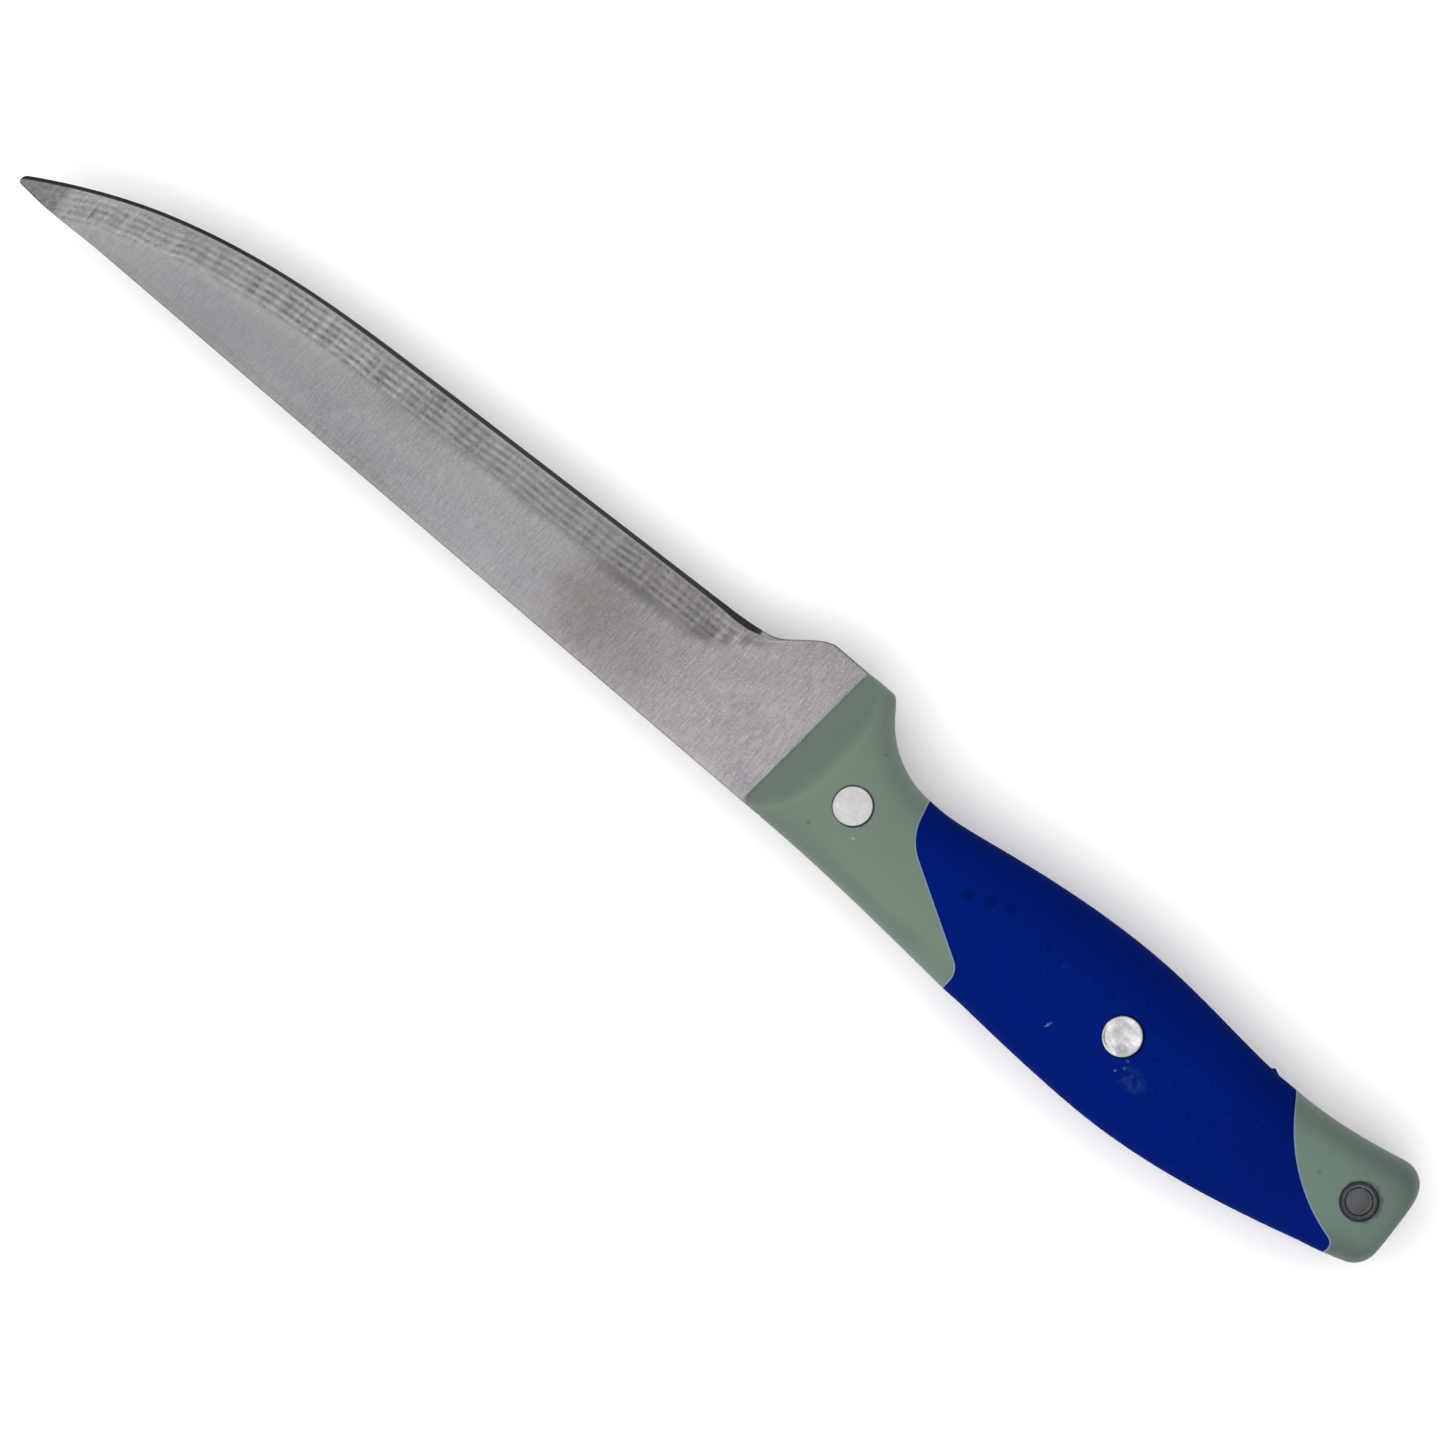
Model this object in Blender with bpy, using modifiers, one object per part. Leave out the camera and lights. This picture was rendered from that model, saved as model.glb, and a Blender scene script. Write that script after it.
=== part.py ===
"""Sticking knife: a stiff ground blade with a hidden tang, in a handle moulded in two colours.

The knife lies on its side. X runs from the butt to the tip, Y from the cutting edge to the
spine, and Z through the thickness. It is drawn from a datum at the front end of the handle:
X = 0 is the handle's front face at the spine, Y = 0 is the straight line of the spine and
Z = 0 is the plane through the middle of the blade. Distances "behind" run from the front
face towards the butt, and depths run from the spine line towards the cutting edge. An empty
carries all the pieces, so that the origin lies under the middle of the knife, on the surface
that it lies on.
"""

import math

import bmesh
import bpy
from mathutils import Vector

COLLECTION = "sticking_knife"
CLEARANCE = 0.0003  # between pieces that fit in or on each other

# Blade
BLADE_LENGTH = 0.1587  # from the handle's front face to the tip
BLADE_THICKNESS = 0.0024  # in the handle and at its front face
TIP_THICKNESS = 0.0019  # the blade's two flats run straight from the front face to this
HEEL_DEPTH = 0.0299
HEEL_RUN = 0.0044  # straight bottom of the heel, in front of the handle
NOTCH_RUN = 0.0100  # curve from the heel up to the edge
NOTCH_DEPTH = 0.0241
NOTCH_SLOPE = 0.20
EDGE_START = 0.0220  # in front of the handle
EDGE_START_DEPTH = 0.0232
EDGE_START_SLOPE = 0.052
BELLY_LENGTH = 0.0667  # curved part of the edge, measured back from the tip
BELLY_DEPTH = 0.01945
BELLY_SLOPE = 0.060
SWEEP_LENGTH = 0.0227  # steep last part of the edge, measured back from the tip
SWEEP_DEPTH = 0.0122
SWEEP_SLOPE = 0.33
TIP_DEPTH = 0.0015
TIP_SLOPE = 0.60
TIP_RADIUS = 0.0007
SPINE_SWELL = 0.0003  # the spine rises by this just behind the tip
SPINE_SWELL_START = 0.0180  # measured back from the tip
SPINE_SWELL_TOP = 0.0060
GRIND_WIDTH = 0.0070  # from the edge up to where the grinding ends
GRIND_MOST_SHARE = 0.75  # of the blade's depth, which limits it at the tip
BEVEL_WIDTH = 0.0008  # sharpened strip along the edge
BEVEL_MOST_SHARE = 0.25
BEVEL_THICKNESS = 0.0006  # where the sharpened strip ends
EDGE_THICKNESS = 0.00012
SPINE_CHAMFER = 0.00025
SPINE_CHAMFER_MOST_SHARE = 0.20
PLUNGE_START = 0.0100  # the grinding deepens between these two, in front of the handle
PLUNGE_END = 0.0190

# Tang, the part of the blade inside the handle
ROOT_LENGTH = 0.0034  # full depth of the blade held in the handle
SHOULDER_RUN = 0.0008  # slope from the full depth to that of the tang
TANG_LENGTH = 0.0950  # behind the handle's front face
TANG_FRONT_DEPTH = 0.0124  # from its upper to its lower side, at the root
TANG_END_DEPTH = 0.0100
TANG_END_RADIUS = 0.0030

# Handle outline seen from the side
HANDLE_LENGTH = 0.1291
FRONT_LEAN = math.radians(4.4)  # front face, from square to the spine
FRONT_RADIUS = 0.0010
GUARD_DEPTH = 0.03005
GUARD_BLEND = 0.0025  # rounding of the guard's corner
HOLLOW_BEHIND = 0.0240  # deepest point of the finger hollow
HOLLOW_DEPTH = 0.0204
HOLLOW_RADIUS = 0.0170
BELLY_GRIP_BEHIND = 0.0400  # middle of the straight run from the hollow to the palm
BELLY_GRIP_DEPTH = 0.0225
BELLY_GRIP_FALL = 0.17  # slopes of the outline are heights for each unit of run
PALM_BEHIND = 0.0700
PALM_DEPTH = 0.02543
NECK_FROM_BUTT = 0.0270
NECK_DEPTH = 0.0235
BUTT_DEPTH = 0.0277
BUTT_BELLY_FALL = 0.24
BACK_START = 0.0060  # the back is in line with the spine as far as here
CROWN_BEHIND = 0.0740  # highest point of the back
CROWN_RISE = 0.0031
SHOULDER_FROM_BUTT = 0.0080  # from here the back falls more steeply to the butt
SHOULDER_DROP = 0.0054
SHOULDER_FALL = 0.30
BUTT_DROP = 0.0082  # how far the back has fallen at the butt
BUTT_BACK_FALL = 0.40
BUTT_BACK_RADIUS = 0.0030
BUTT_BELLY_RADIUS = 0.0060
BUTT_LEAN = math.radians(3.0)  # butt end, from square to the spine
BUTT_LEAN_DEPTH = 0.0112  # the butt end leans about this depth
BUTT_LEAN_RUN = 0.0180  # the lean dies out over this, in front of the butt end
BUTT_EDGE_RADIUS = 0.0030  # rounding of the butt end through the thickness

# Handle thickness
FRONT_THICKNESS = 0.0128
FRONT_SWELL = 0.03  # each side swells by this for each unit of run at the front
PALM_THICKNESS = 0.0170
NECK_THICKNESS = 0.0146
BUTT_THICKNESS = 0.0156
SECTION_POWER = 2.6  # 2 would be an ellipse, and a higher power is squarer
LIP_THICKNESS = 0.0009  # moulding beside the blade at the front face
FACET_SLOPE = math.radians(34.0)  # slanted facets of the bolster, from the blade's side

# Soft grip
SLEEVE_WALL = 0.0018
FRONT_SEAM_LOW = 0.0238  # front seam at the belly, behind the front face
FRONT_SEAM_LOW_DEPTH = 0.0204
FRONT_SEAM_BEND = 0.0254  # where its two lower runs would cross
FRONT_SEAM_BEND_DEPTH = 0.0136
FRONT_SEAM_BEND_RADIUS = 0.0090
FRONT_SEAM_HIGH = 0.0457  # front seam at the back
FRONT_SEAM_HIGH_DEPTH = 0.0018
FRONT_SEAM_HIGH_RADIUS = 0.0034
REAR_SEAM_LOW = 0.0276  # rear seam at the belly, from the butt
REAR_SEAM_LOW_DEPTH = 0.0234
REAR_SEAM_BEND = 0.0199  # where its two straight runs would cross
REAR_SEAM_BEND_DEPTH = 0.0116
REAR_SEAM_BEND_RADIUS = 0.0300
REAR_SEAM_HIGH = 0.0065  # rear seam at the back, from the butt
REAR_SEAM_HIGH_DEPTH = 0.0078
REAR_SEAM_HIGH_RADIUS = 0.0016
REAR_SEAM_HIGH_LEAN = 0.165  # its last run leans this far forward for each unit of rise

# Rivets and tube
RIVET_DIAMETER = 0.0069
RIVET_DEPTH = 0.01135
RIVET_CROWN = 0.00015
RIVET_CROWN_STEP = 0.6  # share of the radius where the crown's curve has its inner corner
RIVET_CHAMFER = 0.0002
FRONT_RIVET_BEHIND = 0.0146
MIDDLE_RIVET_FROM_TANG_END = 0.0216
TUBE_OUTER_DIAMETER = 0.0068
TUBE_WALL = 0.0004
TUBE_FROM_BUTT = 0.0079
TUBE_DEPTH = 0.0161

# Mesh resolution: each pitch is the widest step between two sections
SECTION_POINTS = 28
ROUND_STEPS = 32
FILLET_STEPS = 8
END_STEPS = 8
TIP_STEPS = 5
TANG_END_STEPS = 6
ROUNDING_PITCH = 0.00035
GUARD_PITCH = 0.00055
GUARD_LEAD = 0.0004  # close sections start this far in front of the guard's corner
GUARD_RUN = 0.0040  # and end this far behind it
HOLLOW_PITCH = 0.0019
GRIP_PITCH = 0.0047
NOTCH_PITCH = 0.0010
EDGE_PITCH = 0.0118
BELLY_PITCH = 0.0037
TIP_STOP = 0.000035  # the last section lies this far short of the tip
MERGE = 0.000001
SMOOTH_ANGLE = math.radians(30.0)
BEYOND = 0.0200  # how far cutters run past what they cut

# Looks: colour, roughness and metallic value
STEEL = ((0.42, 0.42, 0.43), 0.35, 1.0)
GREEN_PLASTIC = ((0.195, 0.250, 0.205), 0.50, 0.0)
BLUE_GRIP = ((0.004, 0.012, 0.155), 0.55, 0.0)
ALUMINIUM = ((0.72, 0.72, 0.73), 0.35, 1.0)
TUBE_METAL = ((0.30, 0.32, 0.35), 0.40, 1.0)


def flow(knots, at):
    """Height at a distance along (distance, height, slope) knots, eased from each to the next."""
    for (start, low, low_slope), (end, high, high_slope) in zip(knots, knots[1:]):
        if at <= end:
            break
    run = end - start
    u = (at - start) / run
    first = ((1 + 2 * u) * low + u * run * low_slope) * (1 - u) ** 2
    last = ((3 - 2 * u) * high - (1 - u) * run * high_slope) * u ** 2
    return first + last


def rounding(radius, inside):
    """How far a corner of this radius falls short, at a distance inside the end."""
    inside = min(max(inside, 0.0), radius)
    return radius - math.sqrt(radius ** 2 - (radius - inside) ** 2)


def blended_minimum(a, b, width):
    """The smaller of two heights, with the corner between them rounded over a width."""
    near = max(width - abs(a - b), 0.0) / width
    return min(a, b) - near ** 2 * width / 4


def spaced(start, end, pitch):
    """Evenly spaced numbers from start up to, and without, the end, at most a pitch apart."""
    steps = max(math.ceil((end - start) / pitch), 1)
    return [start + (end - start) * i / steps for i in range(steps)]


def eased(start, end, steps):
    """Numbers from start to the end that crowd together towards the end."""
    return [start + (end - start) * math.sin(math.pi / 2 * i / steps) for i in range(steps + 1)]


def back_height(behind, inset):
    """Height of the handle's back, or of a surface sunk below it."""
    knots = [
        (BACK_START, 0.0, 0.0),
        (CROWN_BEHIND, CROWN_RISE, 0.0),
        (HANDLE_LENGTH - SHOULDER_FROM_BUTT, -SHOULDER_DROP, -SHOULDER_FALL),
        (HANDLE_LENGTH, -BUTT_DROP, -BUTT_BACK_FALL),
    ]
    height = flow(knots, max(behind, BACK_START))
    height -= rounding(FRONT_RADIUS, behind)
    height -= rounding(BUTT_BACK_RADIUS, HANDLE_LENGTH - behind)
    return height - inset


def belly_height(behind, inset):
    """Height of the handle's belly, with its guard and finger hollow, or of a sunk surface."""
    if behind < HOLLOW_BEHIND:
        away = min(HOLLOW_BEHIND - behind, HOLLOW_RADIUS)
        hollow = HOLLOW_DEPTH + HOLLOW_RADIUS - math.sqrt(HOLLOW_RADIUS ** 2 - away ** 2)
        height = -blended_minimum(hollow, GUARD_DEPTH, GUARD_BLEND)
        height += rounding(FRONT_RADIUS, behind - GUARD_DEPTH * math.tan(FRONT_LEAN))
        return height + inset
    knots = [
        (HOLLOW_BEHIND, -HOLLOW_DEPTH, 0.0),
        (BELLY_GRIP_BEHIND, -BELLY_GRIP_DEPTH, -BELLY_GRIP_FALL),
        (PALM_BEHIND, -PALM_DEPTH, 0.0),
        (HANDLE_LENGTH - NECK_FROM_BUTT, -NECK_DEPTH, 0.0),
        (HANDLE_LENGTH, -BUTT_DEPTH, -BUTT_BELLY_FALL),
    ]
    height = flow(knots, behind) + rounding(BUTT_BELLY_RADIUS, HANDLE_LENGTH - behind)
    return height + inset


def half_thickness(behind, inset):
    """Half the handle's greatest thickness, or that of a sunk surface."""
    knots = [
        (0.0, FRONT_THICKNESS / 2, FRONT_SWELL),
        (PALM_BEHIND, PALM_THICKNESS / 2, 0.0),
        (HANDLE_LENGTH - NECK_FROM_BUTT, NECK_THICKNESS / 2, 0.0),
        (HANDLE_LENGTH, BUTT_THICKNESS / 2, 0.0),
    ]
    half = flow(knots, behind) - rounding(BUTT_EDGE_RADIUS, HANDLE_LENGTH - behind)
    return half - inset


def side_height(behind, depth):
    """Height of the handle's domed side above the middle plane."""
    back = back_height(behind, 0.0)
    belly = belly_height(behind, 0.0)
    across = abs(2 * (-depth - belly) / (back - belly) - 1)
    return half_thickness(behind, 0.0) * (1 - across ** SECTION_POWER) ** (1 / SECTION_POWER)


def handle_ring(behind, inset):
    """One section of the handle: a closed curve between an ellipse and a rectangle."""
    back = back_height(behind, inset)
    belly = belly_height(behind, inset)
    half = half_thickness(behind, inset)
    share = max(1 - (HANDLE_LENGTH - behind) / BUTT_LEAN_RUN, 0.0)
    lean = share * share * math.tan(BUTT_LEAN)
    ring = []
    for i in range(SECTION_POINTS):
        angle = 2 * math.pi * i / SECTION_POINTS
        across = math.copysign(abs(math.cos(angle)) ** (2 / SECTION_POWER), math.cos(angle))
        out = math.copysign(abs(math.sin(angle)) ** (2 / SECTION_POWER), math.sin(angle))
        height = (back + belly + (back - belly) * across) / 2
        ring.append((-behind - lean * (height + BUTT_LEAN_DEPTH), height, half * out))
    return ring


def handle_stations():
    """Distances behind the front face where the handle's sections are drawn."""
    lean = GUARD_DEPTH * math.tan(FRONT_LEAN)
    corner = HOLLOW_BEHIND - HOLLOW_RADIUS
    tail = HANDLE_LENGTH - BUTT_BELLY_RADIUS
    stations = spaced(0.0, FRONT_RADIUS, ROUNDING_PITCH)
    stations += spaced(FRONT_RADIUS, lean, HOLLOW_PITCH)
    stations += spaced(lean, lean + FRONT_RADIUS, ROUNDING_PITCH)
    stations += spaced(lean + FRONT_RADIUS, corner - GUARD_LEAD, HOLLOW_PITCH)
    stations += spaced(corner - GUARD_LEAD, corner + GUARD_RUN, GUARD_PITCH)
    stations += spaced(corner + GUARD_RUN, HOLLOW_BEHIND, HOLLOW_PITCH)
    stations += spaced(HOLLOW_BEHIND, PALM_BEHIND, GRIP_PITCH)
    stations += spaced(PALM_BEHIND, CROWN_BEHIND, GRIP_PITCH)
    stations += spaced(CROWN_BEHIND, tail, GRIP_PITCH)
    stations += eased(tail, HANDLE_LENGTH, END_STEPS)
    return stations


def blade_edge_height(at):
    """Height of the blade's lower outline: heel, notch, straight edge and belly."""
    knots = [
        (0.0, -HEEL_DEPTH, 0.0),
        (HEEL_RUN, -HEEL_DEPTH, 0.0),
        (HEEL_RUN + NOTCH_RUN, -NOTCH_DEPTH, NOTCH_SLOPE),
        (EDGE_START, -EDGE_START_DEPTH, EDGE_START_SLOPE),
        (BLADE_LENGTH - BELLY_LENGTH, -BELLY_DEPTH, BELLY_SLOPE),
        (BLADE_LENGTH - SWEEP_LENGTH, -SWEEP_DEPTH, SWEEP_SLOPE),
        (BLADE_LENGTH, -TIP_DEPTH, TIP_SLOPE),
    ]
    return flow(knots, max(at, 0.0)) + rounding(TIP_RADIUS, BLADE_LENGTH - at)


def spine_height(at):
    """Height of the blade's spine: straight, with a slight swell before the rounded tip."""
    knots = [
        (BLADE_LENGTH - SPINE_SWELL_START, 0.0, 0.0),
        (BLADE_LENGTH - SPINE_SWELL_TOP, SPINE_SWELL, 0.0),
        (BLADE_LENGTH, 0.0, 0.0),
    ]
    height = flow(knots, max(at, BLADE_LENGTH - SPINE_SWELL_START))
    return height - rounding(TIP_RADIUS, BLADE_LENGTH - at)


def flat_half_thickness(at):
    """Half the blade's thickness between its flats, at a distance in front of the handle."""
    return (BLADE_THICKNESS + (TIP_THICKNESS - BLADE_THICKNESS) * max(at, 0.0) / BLADE_LENGTH) / 2


def ground_half_thickness(from_edge, flat_half):
    """Half the blade's thickness where it is ground, at a distance from the edge."""
    if from_edge < BEVEL_WIDTH:
        share = from_edge / BEVEL_WIDTH
        return (EDGE_THICKNESS + (BEVEL_THICKNESS - EDGE_THICKNESS) * share) / 2
    share = min((from_edge - BEVEL_WIDTH) / (GRIND_WIDTH - BEVEL_WIDTH), 1.0)
    return BEVEL_THICKNESS / 2 + (flat_half - BEVEL_THICKNESS / 2) * share


def blade_ring(at, spine, edge, ground):
    """One section of the blade, from a plain bar where ground is 0 to fully ground at 1."""
    depth = spine - edge
    flat_half = flat_half_thickness(at)
    chamfer = min(SPINE_CHAMFER, depth * SPINE_CHAMFER_MOST_SHARE)
    bar = [
        (0.0, flat_half - chamfer),
        (chamfer, flat_half),
        (2 * chamfer, flat_half),
        (depth - chamfer, flat_half),
        (depth, flat_half - chamfer),
    ]
    distances = [
        0.0,
        min(BEVEL_WIDTH, depth * BEVEL_MOST_SHARE),
        min(GRIND_WIDTH, depth * GRIND_MOST_SHARE),
        depth - chamfer,
        depth,
    ]
    half_ring = []
    for from_edge, (bar_from_edge, bar_height) in zip(distances, bar):
        half = ground_half_thickness(from_edge, flat_half)
        if from_edge == depth:
            half -= min(chamfer, half / 2)
        y = edge + bar_from_edge + (from_edge - bar_from_edge) * ground
        z = bar_height + (half - bar_height) * ground
        half_ring.append((at, y, z))
    other_side = [(x, y, -z) for x, y, z in reversed(half_ring)]
    return half_ring + other_side


def blade_rings():
    """The blade's sections from the tip back to its root."""
    belly = BLADE_LENGTH - BELLY_LENGTH
    sweep = BLADE_LENGTH - SWEEP_LENGTH
    tip = BLADE_LENGTH - 2 * TIP_RADIUS
    stations = spaced(-ROOT_LENGTH, 0.0, ROOT_LENGTH)
    stations += spaced(0.0, HEEL_RUN, HEEL_RUN)
    stations += spaced(HEEL_RUN, PLUNGE_START, NOTCH_PITCH)
    stations += spaced(PLUNGE_START, PLUNGE_END, NOTCH_PITCH)
    stations += spaced(PLUNGE_END, EDGE_START, NOTCH_PITCH)
    stations += spaced(EDGE_START, belly, EDGE_PITCH)
    stations += spaced(belly, sweep, BELLY_PITCH)
    stations += spaced(sweep, tip, BELLY_PITCH)
    stations += eased(tip, BLADE_LENGTH - TIP_STOP, TIP_STEPS)
    rings = []
    for at in reversed(stations):
        along = min(max((at - PLUNGE_START) / (PLUNGE_END - PLUNGE_START), 0.0), 1.0)
        ground = along ** 2 * (3 - 2 * along)
        rings.append(blade_ring(at, spine_height(at), blade_edge_height(at), ground))
    return rings


def tang_half_depth(behind, end):
    """Half the tang's depth, tapered and rounded at its end."""
    start = ROOT_LENGTH + SHOULDER_RUN
    share = (behind - start) / (TANG_LENGTH - start)
    half = (TANG_FRONT_DEPTH + (TANG_END_DEPTH - TANG_FRONT_DEPTH) * share) / 2
    return half - rounding(TANG_END_RADIUS, end - behind)


def tang_stations(start, end):
    """Distances behind the front face where the tang's sections are drawn."""
    return [start] + eased(end - TANG_END_RADIUS, end, TANG_END_STEPS)


def tang_rings():
    """The tang's sections from the blade's root to its end."""
    rings = []
    for behind in tang_stations(ROOT_LENGTH + SHOULDER_RUN, TANG_LENGTH):
        half = tang_half_depth(behind, TANG_LENGTH)
        rings.append(blade_ring(-behind, half - RIVET_DEPTH, -half - RIVET_DEPTH, 0.0))
    return rings


def collections():
    """Makes the collection of the parts and that of their cutters."""
    parts = bpy.data.collections.new(COLLECTION)
    cutters = bpy.data.collections.new(COLLECTION + "_cutters")
    bpy.context.scene.collection.children.link(parts)
    bpy.context.scene.collection.children.link(cutters)
    return parts, cutters


def material(name, colour, roughness, metallic):
    """A plain material with one colour."""
    made = bpy.data.materials.new(name)
    made.use_nodes = True
    shader = made.node_tree.nodes["Principled BSDF"]
    shader.inputs["Base Color"].default_value = (*colour, 1.0)
    shader.inputs["Roughness"].default_value = roughness
    shader.inputs["Metallic"].default_value = metallic
    return made


def add_object(name, mesh, collection):
    """Links a mesh to a collection as an object. A cutter is drawn as wire and isn't rendered."""
    made = bpy.data.objects.new(name, mesh)
    collection.objects.link(made)
    if collection.name.endswith("_cutters"):
        made.hide_render = True
        made.display_type = "WIRE"
    return made


def loft(name, rings, collection):
    """A closed solid through rings of equally many points, with a flat face at each end."""
    shape = bmesh.new()
    rows = [[shape.verts.new(point) for point in ring] for ring in rings]
    for near, far in zip(rows, rows[1:]):
        for i in range(len(near)):
            j = (i + 1) % len(near)
            shape.faces.new((near[i], near[j], far[j], far[i]))
    shape.faces.new(reversed(rows[0]))
    shape.faces.new(rows[-1])
    bmesh.ops.recalc_face_normals(shape, faces=shape.faces)
    mesh = bpy.data.meshes.new(name)
    shape.to_mesh(mesh)
    shape.free()
    return add_object(name, mesh, collection)


def plate(name, outline, half_height, collection):
    """A closed outline made a solid that reaches half_height to both sides of its plane."""
    curve = bpy.data.curves.new(name, "CURVE")
    curve.dimensions = "2D"
    curve.fill_mode = "BOTH"
    curve.extrude = half_height
    spline = curve.splines.new("POLY")
    spline.points.add(len(outline) - 1)
    for point, (x, y) in zip(spline.points, outline):
        point.co = (x, y, 0.0, 1.0)
    spline.use_cyclic_u = True
    drawn = bpy.data.objects.new(name + "_curve", curve)
    bpy.context.scene.collection.objects.link(drawn)
    evaluated = drawn.evaluated_get(bpy.context.evaluated_depsgraph_get())
    mesh = bpy.data.meshes.new_from_object(evaluated)
    bpy.data.objects.remove(drawn)
    shape = bmesh.new()
    shape.from_mesh(mesh)
    bmesh.ops.remove_doubles(shape, verts=shape.verts, dist=MERGE)
    bmesh.ops.recalc_face_normals(shape, faces=shape.faces)
    shape.to_mesh(mesh)
    shape.free()
    mesh.name = name
    return add_object(name, mesh, collection)


def turned(name, profile, closed, collection):
    """A profile in the XZ plane turned round the Z axis."""
    mesh = bpy.data.meshes.new(name)
    count = len(profile)
    edges = [(i, i + 1) for i in range(count - 1)]
    if closed:
        edges.append((count - 1, 0))
    mesh.from_pydata([(x, 0.0, z) for x, z in profile], edges, [])
    made = add_object(name, mesh, collection)
    screw = made.modifiers.new("turn", "SCREW")
    screw.steps = ROUND_STEPS
    screw.render_steps = ROUND_STEPS
    screw.use_merge_vertices = True
    screw.merge_threshold = MERGE
    return made


def boolean(target, cutter, operation):
    """Cuts, or keeps what lies in, another solid."""
    cut = target.modifiers.new(cutter.name, "BOOLEAN")
    cut.operation = operation
    cut.solver = "EXACT"
    cut.object = cutter


def filleted(corners, radii):
    """An open line through corners, with an arc of its own radius at each inner corner."""
    points = [corners[0]]
    for before, corner, after, radius in zip(corners, corners[1:], corners[2:], radii):
        middle = Vector(corner)
        back = (Vector(before) - middle).normalized()
        ahead = (Vector(after) - middle).normalized()
        half_angle = back.angle(ahead) / 2
        centre = middle + (back + ahead).normalized() * (radius / math.sin(half_angle))
        start = middle + back * (radius / math.tan(half_angle)) - centre
        turn = (math.pi - 2 * half_angle) * math.copysign(1.0, back.x * ahead.y - back.y * ahead.x)
        for i in range(FILLET_STEPS + 1):
            angle = -turn * i / FILLET_STEPS
            cosine, sine = math.cos(angle), math.sin(angle)
            arm = Vector((start.x * cosine - start.y * sine, start.x * sine + start.y * cosine))
            points.append(tuple(centre + arm))
    points.append(corners[-1])
    return points


def shifted(line, distance):
    """An open line moved to its right by a distance."""
    moved = []
    for i, (x, y) in enumerate(line):
        before = Vector(line[max(i - 1, 0)])
        after = Vector(line[min(i + 1, len(line) - 1)])
        along = (after - before).normalized()
        moved.append((x + along.y * distance, y - along.x * distance))
    return moved


def grip_outline(gap):
    """Outline of the soft grip seen from the side, drawn in by a gap at both seams.

    The front seam runs from the belly to the back and the rear seam from the back to the
    belly. Both run on past the handle's outline.
    """
    front_run = Vector((FRONT_SEAM_BEND - FRONT_SEAM_LOW, FRONT_SEAM_BEND_DEPTH - FRONT_SEAM_LOW_DEPTH))
    front_end = Vector((-FRONT_SEAM_LOW, -FRONT_SEAM_LOW_DEPTH)) + front_run.normalized() * BEYOND / 2
    front = filleted(
        [
            tuple(front_end),
            (-FRONT_SEAM_BEND, -FRONT_SEAM_BEND_DEPTH),
            (-FRONT_SEAM_HIGH, -FRONT_SEAM_HIGH_DEPTH),
            (-FRONT_SEAM_HIGH, CROWN_RISE + BEYOND / 2),
        ],
        [FRONT_SEAM_BEND_RADIUS, FRONT_SEAM_HIGH_RADIUS],
    )
    butt = -HANDLE_LENGTH
    belly_run = Vector((REAR_SEAM_LOW - REAR_SEAM_BEND, REAR_SEAM_BEND_DEPTH - REAR_SEAM_LOW_DEPTH))
    belly_end = Vector((butt + REAR_SEAM_LOW, -REAR_SEAM_LOW_DEPTH)) + belly_run.normalized() * BEYOND / 4
    back_rise = BEYOND / 4
    rear = filleted(
        [
            (butt + REAR_SEAM_HIGH + REAR_SEAM_HIGH_LEAN * back_rise, back_rise - REAR_SEAM_HIGH_DEPTH),
            (butt + REAR_SEAM_HIGH, -REAR_SEAM_HIGH_DEPTH),
            (butt + REAR_SEAM_BEND, -REAR_SEAM_BEND_DEPTH),
            tuple(belly_end),
        ],
        [REAR_SEAM_HIGH_RADIUS, REAR_SEAM_BEND_RADIUS],
    )
    return shifted(front, -gap) + shifted(rear, -gap)


def handle_solid(name, inset, collection):
    """The whole handle's shape, or one sunk below its surface for the waist under the grip."""
    stations = handle_stations()
    if inset:
        stations = [s for s in stations if inset < s < HANDLE_LENGTH - BUTT_BELLY_RADIUS / 2]
    return loft(name, [handle_ring(s, inset) for s in stations], collection)


def drill(name, behind, depth, diameter, collection):
    """A round cutter through the whole thickness."""
    shape = bmesh.new()
    bmesh.ops.create_cone(
        shape,
        cap_ends=True,
        segments=ROUND_STEPS,
        radius1=diameter / 2,
        radius2=diameter / 2,
        depth=PALM_THICKNESS + BEYOND,
    )
    mesh = bpy.data.meshes.new(name)
    shape.to_mesh(mesh)
    shape.free()
    made = add_object(name, mesh, collection)
    made.location = (-behind, -depth, 0.0)
    return made


def make_blade(parts, holes):
    """The blade and its tang, one piece of steel with a hole for each rivet."""
    made = loft("blade", blade_rings() + tang_rings(), parts)
    for hole in holes:
        boolean(made, hole, "DIFFERENCE")
    return made


def make_nose_cutter(cutters):
    """Cuts the front face and the two slanted facets of the bolster."""
    lip = BLADE_THICKNESS / 2 + LIP_THICKNESS
    out = lip + BEYOND * math.sin(FACET_SLOPE)
    back = -BEYOND * math.cos(FACET_SLOPE)
    outline = [(0, -lip), (0, lip), (back, out), (BEYOND, out), (BEYOND, -out), (back, -out)]
    made = plate("nose_cutter", outline, GUARD_DEPTH + BEYOND, cutters)
    made.rotation_euler = (math.pi / 2, 0.0, -FRONT_LEAN)
    return made


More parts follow.
